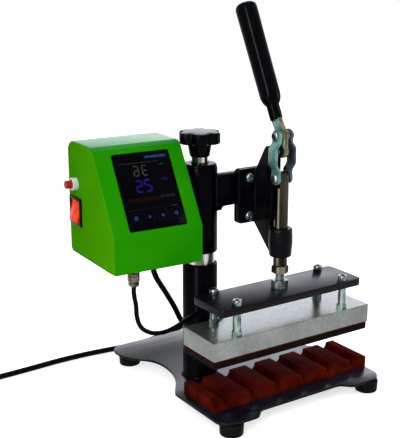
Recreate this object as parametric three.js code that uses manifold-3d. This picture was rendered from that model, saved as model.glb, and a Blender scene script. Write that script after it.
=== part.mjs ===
// Pen heat press: a grooved silicone bed on a steel base, a heater block on a push-pull toggle clamp,
// and a control box, both carried by a sleeve on a round column. Millimetres, +Z up.
import * as THREE from "three";
import { mergeVertices } from "three/addons/utils/BufferGeometryUtils.js";
import Module from "manifold-3d";

const wasm = await Module();
wasm.setup();

// Clearances and overruns
const gap = 0.3;                    // between pieces that are cut or turned to fit each other
const over = 1;                     // how far a cutter runs past what it cuts
const edge = 0.6;                   // broken edge of a sheared or sawn metal piece
const roundSides = 20;              // facets of a large turned piece
const smallSides = 12;              // facets of a pin, screw or bore
const hexSides = 6;

// Base plate and feet
const baseThick = 3;
const baseHalfWidth = 109;
const baseFront = -58;              // front edge of the corner lobes
const baseRear = 184;
const baseMiddleX = -4;
const baseCorner = 17;              // corner radius of the lobes
const frontRecess = 11;             // the front edge steps back this far between the lobes
const lobeReach = 40;               // length of a front lobe along the front edge
const lobeBlend = 20;               // length of the slope from the lobe to the recess
const waistDepth = 28;              // how far each side draws in
const waistFront = 33;              // where the waist starts, behind the heater's middle
const waistMiddle = 102;
const waistRear = 158;
const footHeight = 13;
const footRadius = 12.8;
const footInsetX = 16.5;
const footInsetFront = 10;
const footInsetRear = 21.5;
const footRecess = 5.5;
const footBoltRadius = 3;

// Heater, its platen and the silicone bed
const heaterLength = 210;
const heaterDepth = 58;
const heaterHeight = 20.5;
const gasketThick = 1.6;
const platenThick = 7.2;
const platenInset = 1.2;
const bedHeight = 13;
const bedDepth = 57;
const grooveCount = 6;
const groovePitch = 35;
const grooveRadius = 6.6;
const grooveFloor = 7.6;            // depth of a groove below the top of the ridges
const openGap = 34.2;                 // from the bed's ridges to the platen with the clamp open

// Mount plate, its screws and the spindle
const plateInset = 10.5;            // the mount plate stops this far short of each end of the heater
const plateDepth = 54.5;
const plateThick = 8;
const plateCorner = 6;
const plateLift = 24.2;             // from the heater's top to the plate's underside
const screwInset = 33.5;            // from the heater's ends to the screws
const screwSpacingY = 42;
const screwRadius = 3;
const screwHeadRadius = 5;
const screwHeadHeight = 6;
const screwSocket = 5;              // across the flats of a cap screw's socket
const screwBite = 10;               // how deep a screw goes into the heater
const standoffRadius = 4.3;
const standoffHex = 10;
const standoffFoot = 5;
const spindleRadius = 5;
const spindleHex = 16;
const spindleHead = 6.4;
const spindleNut = 8.4;
const spindleShow = 8.3;            // bare thread between the two nuts
const spindleBite = 20;             // thread inside the plunger

// Toggle clamp
const plungerRadius = 7.6;
const barrelRadius = 13;
const barrelEndRadius = 12;
const barrelHeight = 31;
const barrelLift = 10.5;              // from the plunger's foot to the barrel's underside
const leverCrank = 16;              // from the lever's pivot to the link's pivot
const linkLength = 44.6;
const plungerReach = 95.5;          // from the plunger's foot to its pin
const leverThick = 5;
const cheekThick = 3;
const cheekRadius = 6.2;
const hubRadius = 7.4;
const linkThick = 3;
const linkHalfWidth = 6;
const linkEndRadius = 6.8;
const linkBow = 4.5;                // the links bow out to clear the lever's pivot
const linkBend = [0.13, 0.31, 0.65, 0.83];   // shares of the link's length where its bends start and end
const pinRadius = 3;
const pinHeadRadius = 5.2;
const pinHeadHeight = 2.8;
const pivotHeadRadius = 3.9;
const pivotHeadHeight = 0.9;
const flangeWidth = 56;
const flangeHeight = 60;
const flangeThick = 4.5;
const flangeCorner = 4;
const flangeSetback = 38;           // from the plunger's axis to the front of the flange
const flangeRise = 40.5;            // from the plunger's foot to the flange's lower edge
const flangeBoltX = 13.5;
const flangeBoltZ = 42;
const flangeBoltLow = 7.5;
const clampBoltRadius = 3;
const clampBoltHead = 5.6;
const clampBoltHeadHeight = 3.4;
const webRun = 9.2;                 // from the plunger's axis to the web's front edge

// Lever and grip
const leverWidth = 13;
const gripLean = 26.5;              // degrees back from upright
const gripStartY = 10.5;
const gripStartZ = 31;
const neckRadius = 6.9;
const neckLength = 16;
const gripRadius = 11.2;
const gripEndRadius = 11.9;
const gripLength = 130;
const gripRounding = 5.5;
const tangLength = 52;
const kneeStep = 2;                 // the bar bends this far above and below the link's pin

// Column, sleeve and arm
const columnX = -62;
const columnY = 62;
const columnRadius = 19;
const columnWall = 2.7;
const columnTop = 148;
const postRadius = 16;
const postWall = 4;
const postFoot = 30;                // solid foot of the post, tapped for its bolt
const postDrop = 25;                // from the sleeve's top down to the post's top
const plugThick = 4;
const plugSpigot = 12;
const columnBoltRadius = 6;
const columnBoltHex = 19;
const columnBoltHead = 7;
const sleeveBottom = 161.5;
const sleeveTop = 255;
const bushFlange = 3;
const bushDepth = 14;
const armThick = 14;
const armHeight = 34.5;
const armDrop = 10;                 // from the sleeve's top to the arm's top
const armWeld = 4;                  // radius of the weld under the arm
const endPlateThick = 4;
const weldNutHex = 10;
const weldNutThick = 5;
const setScrewRadius = 3;
const setScrewHead = 4.2;
const setScrewHeadHeight = 3;
const setScrewRise = 40;            // above the sleeve's lower end

// Star knob and its screw
const knobRadius = 23;
const knobLobes = 6;
const knobScallop = 4.6;
const knobThick = 9.5;
const knobDome = 2.2;
const knobHubRadius = 12.6;
const knobHubFoot = 9.8;
const knobHubHeight = 16;
const knobSteps = 60;
const adjusterRadius = 9;
const adjusterShow = 7.4;           // bare screw between the bush and the knob
const adjusterTip = 4;
const adjusterBite = 10;            // screw inside the knob

// Control box, in its own frame: u across, v back, z up from its front lower left corner
const boxCornerX = -93.419;          // its front lower right corner, beside the column
const boxCornerY = 7.915;
const boxZ = 168.3;
const boxTurn = -2.8;               // degrees about Z
const boxWidth = 100;
const boxDepth = 107;
const boxHeight = 119;
const boxFrontHeight = 38;
const boxSlopeRun = 47;             // how far back the sloped face leans
const boxWall = 1.6;
const boxEdge = 2;
const boxRearRadius = 12;
const boxBrowRadius = 5;
const screenWidth = 64;
const screenHeight = 80;
const screenThick = 3;
const screenProud = 0.6;
const screenCorner = 2;
const screenLeft = 18.8;            // from the box's left edge
const screenFoot = 4.3;             // up the slope from its lower edge
const switchWidth = 28;
const switchHeight = 30;
const switchInset = 19;             // from the box's back to the switch's middle
const switchZ = 47;
const switchBezel = 2;
const switchRim = 3;
const switchBody = 14;
const rockerTilt = 11;              // degrees each way from level
const rockerProud = 2.2;
const breakerInset = 20;
const breakerZ = 76;
const breakerRadius = 6.6;
const breakerProud = 5.5;
const breakerBarrel = 12;
const barrelWall = 1.1;
const buttonRadius = 4.3;
const buttonProud = 7;
const buttonTravel = 3;
const socketU = 25.6;
const socketV = 9;
const socketRadius = 6.6;
const socketProud = 5;
const plugRadius = 6.3;
const plugBody = 12;
const reliefInsetU = 11.5;          // from the box's right side
const reliefInset = 19;
const reliefRadius = 6.2;
const reliefTip = 4.2;
const reliefLength = 26;
const coverScrewRadius = 3;
const coverScrewHeight = 1.6;
const bracketWidth = 26;
const bracketHeight = 58;
const bracketRise = 20;
const bracketPlate = 3;

// Heater cable and mains lead
const heaterCableRadius = 2.4;
const leadRadius = 3.25;
const leadSides = 8;
const leadSteps = 72;               // rings along the lead's free stretch
const cableSteps = 40;
const terminalLength = 46;
const terminalDepth = 12;
const terminalHeight = 16;
const terminalX = -18;              // left end of the terminal cover
const terminalNose = 14;
const coilTurns = 2;                // turns in the lower layer
const upperTurns = 1.75;            // turns in the upper layer, where the tail leaves towards the front
const coilSteps = 24;
const coilSides = 6;
const coilRadius = 30.5;            // innermost turn, at the middle of the lead
const coilPitch = 7.3;              // from turn to turn, and from layer to layer
const coilX = -322;
const coilY = 160;
const plugBodyRadius = 13;
const plugBodyLength = 34;
const plugFlat = 1.8;               // depth of the flat that the plug lies on
const bladeWidth = 6.3;
const bladeThick = 1.5;
const bladeLength = 16;
const bladeSpacing = 12.7;
const earthRadius = 2.4;
const earthLength = 19;
const earthDrop = 8;

// Middles of the two cords between their straight ends: x, y, z
const cableWay = [
  [-164.5, 23.5, 130], [-163, 24.5, 117], [-158, 26, 105], [-149, 27.5, 97],
  [-138, 29, 92.5], [-126, 30.5, 91], [-114, 32, 92.5], [-102, 33, 96],
  [-88, 34, 100], [-74, 35, 102], [-60, 35.5, 100], [-49, 35.3, 94], [-41, 35.1, 86],
];
const leadWay = [
  [-98.7, 97, 130.9], [-96.3, 97.9, 126], [-88.5, 101.2, 114.8], [-78, 105.6, 100.2],
  [-64, 112, 79.9], [-49.6, 119, 56.9], [-28, 129.5, 34.5], [-6, 140, 23.5],
  [18, 151, 19.9], [40, 163, 19.5], [56, 176, 19.6], [62, 187, 19.2],
  [64.5, 199, 14.5], [61.5, 211, 8.5], [52, 220.5, 4.8], [38, 224, 3.6],
  [21, 222, 3.4], [4, 216.5, 3.4], [-14, 210.5, 3.4], [-34, 205.5, 3.4],
  [-56, 202.5, 3.4], [-78, 202, 3.4], [-100, 204.2, 3.4], [-122, 206.6, 3.4],
  [-145, 208, 3.4], [-170, 208, 3.4], [-196, 206.5, 3.4], [-224, 205, 3.4],
  [-252, 204.5, 3.4], [-280, 205.1, 3.4],
];

// Finishes
function finish(color, roughness, metalness) {
  return new THREE.MeshStandardMaterial({ color, roughness, metalness });
}

const blackEnamel = finish(0x15161a, 0.35, 0.2);
const greenEnamel = finish(0x2c9408, 0.45, 0.1);
const castBlack = finish(0x101114, 0.5, 0.4);
const zinc = finish(0x9fb0ac, 0.35, 0.9);
const yellowZinc = finish(0x8f8660, 0.35, 0.9);
const chrome = finish(0xd8dcd6, 0.12, 1);
const aluminium = finish(0xa3aaa8, 0.4, 0.9);
const darkPlaten = finish(0x15140f, 0.6, 0.1);
const redSilicone = finish(0x5a1608, 0.6, 0);
const rubber = finish(0x0c0c0d, 0.8, 0);
const blackPlastic = finish(0x08080a, 0.2, 0);
const glass = finish(0x05060c, 0.06, 0);
const whitePlastic = finish(0xe6e2dc, 0.4, 0);
const redPlastic = finish(0xc41a0c, 0.25, 0);

// Solid geometry
function welded(geometry) {
  const bare = geometry.index ? geometry.toNonIndexed() : geometry.clone();
  bare.deleteAttribute("normal");
  bare.deleteAttribute("uv");
  const merged = mergeVertices(bare);
  const source = merged.index.array;
  const kept = [];
  for (let i = 0; i < source.length; i += 3) {
    const [a, b, c] = [source[i], source[i + 1], source[i + 2]];
    if (a !== b && b !== c && c !== a) kept.push(a, b, c);
  }
  merged.setIndex(kept);
  return merged;
}

function enclosedVolume(positions, index) {
  const [a, b, c] = [new THREE.Vector3(), new THREE.Vector3(), new THREE.Vector3()];
  let total = 0;
  for (let i = 0; i < index.length; i += 3) {
    a.fromArray(positions, 3 * index[i]);
    b.fromArray(positions, 3 * index[i + 1]);
    c.fromArray(positions, 3 * index[i + 2]);
    total += a.dot(b.cross(c)) / 6;
  }
  return total;
}

function solid(geometry) {
  const merged = welded(geometry);
  const positions = merged.attributes.position.array;
  const index = Array.from(merged.index.array);
  if (enclosedVolume(positions, index) < 0) index.reverse();
  return new wasm.Manifold(new wasm.Mesh({
    numProp: 3,
    vertProperties: new Float32Array(positions),
    triVerts: new Uint32Array(index),
  }));
}

function joined(...solids) {
  return solids.reduce((whole, piece) => whole.add(piece));
}

function cut(whole, ...tools) {
  return tools.reduce((rest, tool) => rest.subtract(tool), whole);
}

function moved(body, x, y, z) {
  return body.translate([x, y, z]);
}

function outline(points) {
  return new THREE.Shape(points.map(([x, y]) => new THREE.Vector2(x, y)));
}

function roundedRect(width, height, radius) {
  const [w, h] = [width / 2, height / 2];
  const r = Math.min(radius, w, h);
  const shape = new THREE.Shape();
  shape.moveTo(-w + r, -h);
  shape.lineTo(w - r, -h);
  shape.absarc(w - r, -h + r, r, -Math.PI / 2, 0);
  shape.lineTo(w, h - r);
  shape.absarc(w - r, h - r, r, 0, Math.PI / 2);
  shape.lineTo(-w + r, h);
  shape.absarc(-w + r, h - r, r, Math.PI / 2, Math.PI);
  shape.lineTo(-w, -h + r);
  shape.absarc(-w + r, -h + r, r, Math.PI, 1.5 * Math.PI);
  return shape;
}

function polygon(radius, sides, turn = 0) {
  const step = (2 * Math.PI) / sides;
  return outline(Array.from({ length: sides }, (_, i) => [
    radius * Math.cos(turn + i * step),
    radius * Math.sin(turn + i * step),
  ]));
}

const hexagon = (acrossFlats) => polygon(acrossFlats / Math.sqrt(3), hexSides);

// A slab of an XY outline from z0 to z1, with its long edges broken by a bevel.
function slab(shape, z0, z1, bevel = 0, segments = 3) {
  const geometry = new THREE.ExtrudeGeometry(shape, {
    depth: z1 - z0 - 2 * bevel,
    bevelEnabled: bevel > 0,
    bevelSize: bevel,
    bevelThickness: bevel,
    bevelOffset: -bevel,
    bevelSegments: 1,
    curveSegments: segments,
  });
  geometry.translate(0, 0, z0 + bevel);
  return geometry;
}

// The same with the outline read as (x, z) and run along Y, or as (y, z) and run along X.
function slabY(shape, y0, y1, bevel = 0, segments = 3) {
  const geometry = slab(shape, -y1, -y0, bevel, segments);
  return geometry.rotateX(Math.PI / 2);
}

function slabX(shape, x0, x1, bevel = 0, segments = 3) {
  const geometry = slab(shape, x0, x1, bevel, segments);
  const basis = new THREE.Matrix4().makeBasis(
    new THREE.Vector3(0, 1, 0), new THREE.Vector3(0, 0, 1), new THREE.Vector3(1, 0, 0));
  return geometry.applyMatrix4(basis);
}

function block(x0, x1, y0, y1, z0, z1) {
  const geometry = new THREE.BoxGeometry(x1 - x0, y1 - y0, z1 - z0);
  return solid(geometry.translate((x0 + x1) / 2, (y0 + y1) / 2, (z0 + z1) / 2));
}

// A turned piece about Z: the profile is a list of (radius, z) that starts and ends on the axis.
function turned(profile, sides = roundSides) {
  const points = profile.map(([r, z]) => new THREE.Vector2(r, z));
  return solid(new THREE.LatheGeometry(points, sides).rotateX(Math.PI / 2));
}

function rod(radius, z0, z1, sides = smallSides) {
  return turned([[0, z0], [radius, z0], [radius, z1], [0, z1]], sides);
}

function ring(outer, inner, z0, z1, sides = roundSides) {
  return cut(rod(outer, z0, z1, sides), rod(inner, z0 - over, z1 + over, sides));
}

const lieAlongX = (body) => body.rotate([0, 90, 0]);
const lieAlongY = (body) => body.rotate([-90, 0, 0]);

function add(parent, name, body, material, x = 0, y = 0, z = 0) {
  const cells = body.getMesh();
  const geometry = new THREE.BufferGeometry();
  geometry.setAttribute("position", new THREE.BufferAttribute(new Float32Array(cells.vertProperties), 3));
  geometry.setIndex(new THREE.BufferAttribute(new Uint32Array(cells.triVerts), 1));
  geometry.computeVertexNormals();
  const mesh = new THREE.Mesh(geometry, material);
  mesh.name = name;
  mesh.position.set(x, y, z);
  parent.add(mesh);
  return mesh;
}

function groupAt(parent, x = 0, y = 0, z = 0) {
  const group = new THREE.Group();
  group.position.set(x, y, z);
  parent.add(group);
  return group;
}

// Heights that follow from the sizes above; the press frame has the floor at zero and the plunger on Z
const baseTop = footHeight + baseThick;
const bedTop = baseTop + bedHeight;
const platenBottom = bedTop + openGap;
const heaterBottom = platenBottom + platenThick + gasketThick;
const heaterTop = heaterBottom + heaterHeight;
const plateBottom = heaterTop + plateLift;
const plateTop = plateBottom + plateThick;
const plungerFoot = plateTop + 2 * spindleNut + spindleShow;
const barrelBottom = plungerFoot + barrelLift;
const barrelTop = barrelBottom + barrelHeight;
const plungerPinZ = plungerFoot + plungerReach;
const linkPinZ = plungerPinZ + linkLength;
const leverPivotZ = linkPinZ - leverCrank;
const flangeBottom = plungerFoot + flangeRise;
const flangeTop = flangeBottom + flangeHeight;
const flangeBack = flangeSetback + flangeThick;
const endPlateBack = flangeBack + endPlateThick;
const cheekInner = leverThick / 2 + gap;
const cheekOuter = cheekInner + cheekThick;
const linkInner = cheekOuter + gap;
const linkOuter = linkInner + linkThick;
const armTop = sleeveTop - armDrop;
const armBottom = armTop - armHeight;
const bushTop = sleeveTop + bushFlange;
const knobFoot = bushTop + adjusterShow;
const postTop = sleeveTop - postDrop;
const plugTop = postTop + plugThick;

const press = new THREE.Group();

// Base plate: one outline with a drawn-in waist on each side and a recessed front
const stand = groupAt(press, baseMiddleX);

function baseOutline() {
  const w = baseHalfWidth;
  const waist = w - waistDepth;
  const recess = baseFront + frontRecess;
  const lobeEnd = w - lobeReach;
  const recessEnd = lobeEnd - lobeBlend;
  const c = baseCorner;
  const quarterTurn = Math.PI / 2;
  const shape = new THREE.Shape();
  shape.moveTo(-recessEnd, recess);
  shape.lineTo(recessEnd, recess);
  const blend = lobeEnd - lobeBlend / 2;
  shape.bezierCurveTo(blend, recess, blend, baseFront, lobeEnd, baseFront);
  shape.lineTo(w - c, baseFront);
  shape.absarc(w - c, baseFront + c, c, -quarterTurn, 0);
  shape.lineTo(w, waistFront);
  shape.bezierCurveTo(w - waistDepth / 5, waistFront + waistDepth / 2, waist, waistMiddle - waistDepth * 1.4,
    waist, waistMiddle);
  shape.bezierCurveTo(waist, waistRear - waistDepth * 0.8, w - waistDepth / 5, waistRear - waistDepth,
    w, waistRear);
  shape.lineTo(w, baseRear - c);
  shape.absarc(w - c, baseRear - c, c, 0, quarterTurn);
  shape.lineTo(-w + c, baseRear);
  shape.absarc(-w + c, baseRear - c, c, quarterTurn, 2 * quarterTurn);
  shape.lineTo(-w, waistRear);
  shape.bezierCurveTo(-w + waistDepth / 5, waistRear - waistDepth, -waist, waistRear - waistDepth * 0.8,
    -waist, waistMiddle);
  shape.bezierCurveTo(-waist, waistMiddle - waistDepth * 1.4,
    -w + waistDepth / 5, waistFront + waistDepth / 2, -w, waistFront);
  shape.lineTo(-w, baseFront + c);
  shape.absarc(-w + c, baseFront + c, c, 2 * quarterTurn, 3 * quarterTurn);
  shape.lineTo(-lobeEnd, baseFront);
  shape.bezierCurveTo(-blend, baseFront, -blend, recess, -recessEnd, recess);
  return shape;
}

const footX = baseHalfWidth - footInsetX;
const footPlaces = [
  ["foot_front_left", -footX, baseFront + footInsetFront],
  ["foot_front_right", footX, baseFront + footInsetFront],
  ["foot_rear_left", -footX, baseRear - footInsetRear],
  ["foot_rear_right", footX, baseRear - footInsetRear],
];
const baseHoles = footPlaces.map(([, x, y]) =>
  moved(rod(footBoltRadius + gap, footHeight - over, baseTop + over), x, y, 0));
baseHoles.push(moved(rod(columnBoltRadius + gap, footHeight - over, baseTop + over),
  columnX - baseMiddleX, columnY, 0));
const basePlate = solid(slab(baseOutline(), footHeight, baseTop, edge, 5));
add(stand, "base_plate", cut(basePlate, ...baseHoles), blackEnamel);

// Rubber feet, each with a bonded stud in the base's hole and a hollow underneath
const footTaper = footRadius / 20;
const footProfile = [
  [0, footHeight / 3], [footRecess, footHeight / 3], [footRecess, 0], [footRadius - footTaper - edge, 0],
  [footRadius - footTaper, edge], [footRadius, footHeight - edge], [footRadius - edge, footHeight],
  [footBoltRadius, footHeight], [footBoltRadius, baseTop - edge], [0, baseTop - edge],
];
for (const [name, x, y] of footPlaces) add(stand, name, turned(footProfile), rubber, x, y);

// Silicone bed: one moulding with a row of round-bottomed grooves
function bedProfile() {
  const half = (grooveCount * groovePitch) / 2;
  const centre = bedHeight - grooveFloor + grooveRadius;
  const shape = new THREE.Shape();
  shape.moveTo(-half, 0);
  shape.lineTo(half, 0);
  shape.lineTo(half, bedHeight - edge);
  shape.lineTo(half - edge, bedHeight);
  for (let i = grooveCount - 1; i >= 0; i -= 1) {
    const x = (i + 0.5) * groovePitch - half;
    shape.lineTo(x + grooveRadius, bedHeight);
    shape.absarc(x, centre, grooveRadius, 0, -Math.PI, true);
    shape.lineTo(x - grooveRadius, bedHeight);
  }
  shape.lineTo(-half + edge, bedHeight);
  shape.lineTo(-half, bedHeight - edge);
  return shape;
}

const bedBody = solid(slabY(bedProfile(), -bedDepth / 2, bedDepth / 2, edge, 5));
add(press, "silicone_bed", bedBody, redSilicone, 0, 0, baseTop);

// Column: a chromed post bolted through the base, a black tube round its lower half, a plug on top
const column = groupAt(press, columnX, columnY);
const tubeBore = columnRadius - columnWall;
add(column, "lower_column", turned([
  [tubeBore, baseTop], [columnRadius + armWeld / 2, baseTop], [columnRadius, baseTop + armWeld / 2],
  [columnRadius, columnTop - edge], [columnRadius - edge, columnTop], [tubeBore, columnTop],
  [tubeBore, baseTop],
]), blackEnamel);

const postBore = postRadius - postWall;
add(column, "inner_post", cut(
  turned([
    [0, baseTop], [postRadius, baseTop], [postRadius, postTop - edge], [postRadius - edge, postTop],
    [0, postTop],
  ]),
  rod(postBore, baseTop + postFoot, postTop + over, roundSides),
  rod(columnBoltRadius + gap, baseTop - over, baseTop + postFoot + over),
), chrome);

add(column, "post_plug", turned([
  [0, postTop - plugSpigot], [postBore - gap, postTop - plugSpigot], [postBore - gap, postTop],
  [postRadius - edge, postTop], [postRadius - edge, plugTop - edge], [postRadius - 2 * edge, plugTop],
  [0, plugTop],
]), zinc);

add(column, "column_bolt", joined(
  solid(slab(hexagon(columnBoltHex), footHeight - columnBoltHead, footHeight, edge)),
  rod(columnBoltRadius, footHeight - edge, baseTop + postFoot - over),
), zinc);

// Star knob and adjusting screw: the screw bears on the post's plug and lifts the sleeve
function knobOutline() {
  const points = [];
  for (let i = 0; i < knobSteps; i += 1) {
    const angle = (2 * Math.PI * i) / knobSteps;
    const hollow = ((1 - Math.cos(knobLobes * angle)) / 2) ** 2;
    const radius = knobRadius - knobScallop * hollow;
    points.push([radius * Math.cos(angle), radius * Math.sin(angle)]);
  }
  return outline(points);
}

const knobLow = knobFoot + knobHubHeight;
const knobTop = knobLow + knobThick;
add(column, "star_knob", cut(
  joined(
    solid(slab(knobOutline(), knobLow, knobTop, knobDome / 2, 1)),
    turned([
      [0, knobFoot], [knobHubFoot, knobFoot], [knobHubRadius, knobLow - knobHubHeight / 3],
      [knobHubRadius, knobLow + edge], [knobHubRadius, knobTop],
      [knobHubRadius - knobDome, knobTop + knobDome / 2], [0, knobTop + knobDome],
    ]),
  ),
  rod(adjusterRadius + gap, knobFoot - over, knobFoot + adjusterBite + gap, roundSides),
), blackPlastic);

add(column, "adjusting_screw", turned([
  [0, plugTop + gap], [adjusterRadius - adjusterTip, plugTop + gap],
  [adjusterRadius, plugTop + gap + adjusterTip],
  [adjusterRadius, knobFoot + adjusterBite], [0, knobFoot + adjusterBite],
]), chrome);

// Sleeve, arm and end plate, welded into one piece
const sleeveBore = columnRadius - columnWall;

function armSide() {
  const foot = columnRadius + armWeld;
  const shape = new THREE.Shape();
  const end = -columnX + flangeWidth / 2 - flangeCorner;
  shape.moveTo(0, armBottom - armWeld);
  shape.lineTo(columnRadius - edge, armBottom - armWeld);
  shape.quadraticCurveTo(columnRadius - edge, armBottom, foot, armBottom);
  shape.lineTo(end, armBottom);
  shape.lineTo(end, armTop);
  shape.lineTo(0, armTop);
  return shape;
}

const setScrewZ = sleeveBottom + setScrewRise;
const armFront = endPlateBack - columnY;
const flangeMiddle = (flangeBottom + flangeTop) / 2;
const boltRows = [flangeBottom + flangeBoltLow, flangeBottom + flangeBoltLow + flangeBoltZ];
const boltPlaces = [];
for (const z of boltRows) for (const x of [-flangeBoltX, flangeBoltX]) boltPlaces.push([x, z]);
const boltLength = flangeThick + endPlateThick + weldNutThick;

function flangePlate(y0, y1) {
  const plate = solid(slabY(roundedRect(flangeWidth, flangeHeight, flangeCorner), y0, y1, edge));
  return moved(plate, 0, 0, flangeMiddle);
}

const head = groupAt(press);
const weldNuts = boltPlaces.map(([x, z]) => moved(
  solid(slabY(hexagon(weldNutHex), endPlateBack - edge, endPlateBack + weldNutThick, 0)), x, 0, z));
const boltHoles = boltPlaces.map(([x, z]) => moved(lieAlongY(rod(clampBoltRadius + gap,
  flangeSetback - over, endPlateBack + weldNutThick + armThick)), x, 0, z));
add(head, "head_weldment", cut(
  joined(
    moved(turned([
      [0, sleeveBottom], [columnRadius - edge, sleeveBottom], [columnRadius, sleeveBottom + edge],
      [columnRadius, sleeveTop - edge], [columnRadius - edge, sleeveTop], [0, sleeveTop],
    ]), columnX, columnY, 0),
    moved(solid(slabY(armSide(), armFront - edge, armFront + armThick)), columnX, columnY, 0),
    flangePlate(flangeBack, endPlateBack),
    ...weldNuts,
  ),
  moved(rod(sleeveBore, sleeveBottom - over, sleeveTop + over, roundSides), columnX, columnY, 0),
  moved(lieAlongY(rod(setScrewRadius + gap, 0, columnRadius + over)), columnX, columnY, setScrewZ),
  ...boltHoles,
), blackEnamel);

add(head, "top_bush", cut(
  turned([
    [0, sleeveTop - bushDepth], [sleeveBore - gap, sleeveTop - bushDepth], [sleeveBore - gap, sleeveTop],
    [columnRadius - edge, sleeveTop], [columnRadius - 2 * edge, bushTop], [0, bushTop],
  ]),
  rod(adjusterRadius + gap, sleeveTop - bushDepth - over, bushTop + over, roundSides),
), blackEnamel, columnX, columnY);

const setScrewTop = columnRadius + setScrewHeadHeight;
add(head, "set_screw", lieAlongY(cut(
  joined(
    rod(setScrewHead, columnRadius + gap, setScrewTop),
    rod(setScrewRadius, postRadius + gap, setScrewTop - setScrewHeadHeight / 2),
  ),
  solid(slab(hexagon(setScrewHead), setScrewTop - setScrewHeadHeight / 2, setScrewTop + over)),
)), zinc, columnX, columnY, setScrewZ);

// Toggle clamp body: flange, web, ear and guide barrel in one casting
function webSide() {
  const [y0, y1] = [webRun, flangeBack];
  const earY = cheekRadius;
  return outline([
    [y1 - edge, flangeBottom + edge / 2], [barrelEndRadius - edge / 2, barrelBottom + 1.5 * edge],
    [edge, barrelBottom + 1.5 * edge], [edge, barrelTop - 3 * edge], [y0, barrelTop - 3 * edge],
    [y0, leverPivotZ - cheekRadius], [0, leverPivotZ - cheekRadius],
    [0, leverPivotZ + cheekRadius], [earY, leverPivotZ + cheekRadius],
    [flangeSetback / 2 + cheekRadius / 2, leverPivotZ + cheekRadius / 3],
    [flangeSetback - edge, flangeTop + edge], [y1 - edge, flangeTop - edge],
  ]);
}

const plungerBore = rod(plungerRadius + gap, barrelBottom - over, barrelTop + over, roundSides);
const cheekDisc = lieAlongX(rod(cheekRadius, edge / 4 - cheekOuter, cheekOuter - edge / 4, roundSides));
const hubSlot = joined(
  lieAlongX(rod(hubRadius + 2 * gap, -cheekInner, cheekInner, roundSides)),
  block(-cheekInner, cheekInner, -hubRadius - over, hubRadius + 2 * gap,
    -cheekRadius - over, cheekRadius + over),
);
add(head, "clamp_body", cut(
  joined(
    flangePlate(flangeSetback, flangeBack),
    solid(slabX(webSide(), -cheekOuter, cheekOuter, edge)),
    moved(cheekDisc, 0, 0, leverPivotZ),
    turned([
      [0, barrelBottom], [barrelEndRadius - edge, barrelBottom], [barrelEndRadius, barrelBottom + edge],
      [barrelRadius, (barrelBottom + barrelTop) / 2], [barrelRadius - edge, barrelTop - 2 * edge],
      [barrelEndRadius - edge, barrelTop], [0, barrelTop],
    ]),
  ),
  plungerBore,
  moved(hubSlot, 0, 0, leverPivotZ),
  moved(lieAlongX(rod(pinRadius + gap, -cheekOuter - over, cheekOuter + over)), 0, 0, leverPivotZ),
  ...boltHoles,
), castBlack);

function domedHead(radius, height, socket) {
  const dome = turned([
    [0, 0], [radius, 0], [radius, height / 3], [radius * 0.8, height * 0.85], [radius * 0.5, height],
    [0, height],
  ], smallSides);
  return cut(dome, solid(slab(hexagon(socket), height / 2, height + over)));
}

boltPlaces.forEach(([x, z], i) => {
  const shank = rod(clampBoltRadius, -boltLength, edge);
  const bolt = joined(domedHead(clampBoltHead, clampBoltHeadHeight, clampBoltHead * 0.7), shank);
  add(head, `clamp_bolt_${i + 1}`, bolt.rotate([90, 0, 0]), zinc, x, flangeSetback, z);
});

const pivotReach = cheekOuter + gap / 2;
add(head, "lever_pivot_pin", lieAlongX(joined(
  rod(pinRadius, -pivotReach - edge, pivotReach + edge),
  rod(pivotHeadRadius, pivotReach, pivotReach + pivotHeadHeight),
  rod(pivotHeadRadius, -pivotReach - pivotHeadHeight, -pivotReach),
)), zinc, 0, 0, leverPivotZ);

// Lever: a flat bar on the body's pivot, cranked back into the grip
const lever = groupAt(press, 0, 0, leverPivotZ);
const lean = THREE.MathUtils.degToRad(gripLean);
const gripAxis = new THREE.Vector2(Math.sin(lean), Math.cos(lean));

function leverSide() {
  const side = new THREE.Vector2(gripAxis.y, -gripAxis.x).multiplyScalar(leverWidth / 2);
  const foot = new THREE.Vector2(gripStartY, gripStartZ);
  const tip = foot.clone().addScaledVector(gripAxis, tangLength);
  const start = Math.asin(leverWidth / 2 / hubRadius);
  const shape = new THREE.Shape();
  shape.absarc(0, 0, hubRadius, Math.PI / 2 + start, Math.PI / 2 - start + 2 * Math.PI, false);
  shape.lineTo(leverWidth / 2, leverCrank - kneeStep);
  shape.lineTo(foot.x + side.x, foot.y + side.y);
  shape.lineTo(tip.x + side.x, tip.y + side.y);
  shape.lineTo(tip.x - side.x, tip.y - side.y);
  shape.lineTo(foot.x - side.x, foot.y - side.y);
  shape.lineTo(-leverWidth / 2, leverCrank + kneeStep);
  return shape;
}

const leverBoss = moved(lieAlongX(rod(pinHeadRadius + gap, -cheekOuter, cheekOuter)), 0, 0, leverCrank);
add(lever, "lever_bar", cut(
  joined(solid(slabX(leverSide(), -leverThick / 2, leverThick / 2, edge / 2, 6)), leverBoss),
  lieAlongX(rod(pinRadius + gap, -cheekOuter - over, cheekOuter + over)),
  moved(lieAlongX(rod(pinRadius + gap, -cheekOuter - over, cheekOuter + over)), 0, 0, leverCrank),
), zinc);

const gripBody = cut(
  turned([
    [0, 0], [neckRadius - edge, 0], [neckRadius, edge], [neckRadius, neckLength],
    [gripRadius - edge, neckLength + neckRadius], [gripRadius, neckLength + 1.6 * neckRadius],
    [gripEndRadius, gripLength - gripRounding],
    [gripEndRadius - gripRounding * 0.3, gripLength - gripRounding * 0.3],
    [gripEndRadius - gripRounding, gripLength], [0, gripLength],
  ]),
  block(-leverThick / 2 - gap, leverThick / 2 + gap, -leverWidth / 2 - gap, leverWidth / 2 + gap,
    -over, tangLength + gap),
);
const grip = add(lever, "lever_grip", gripBody, blackPlastic, 0, gripStartY, gripStartZ);
grip.rotation.x = -lean;

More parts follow.
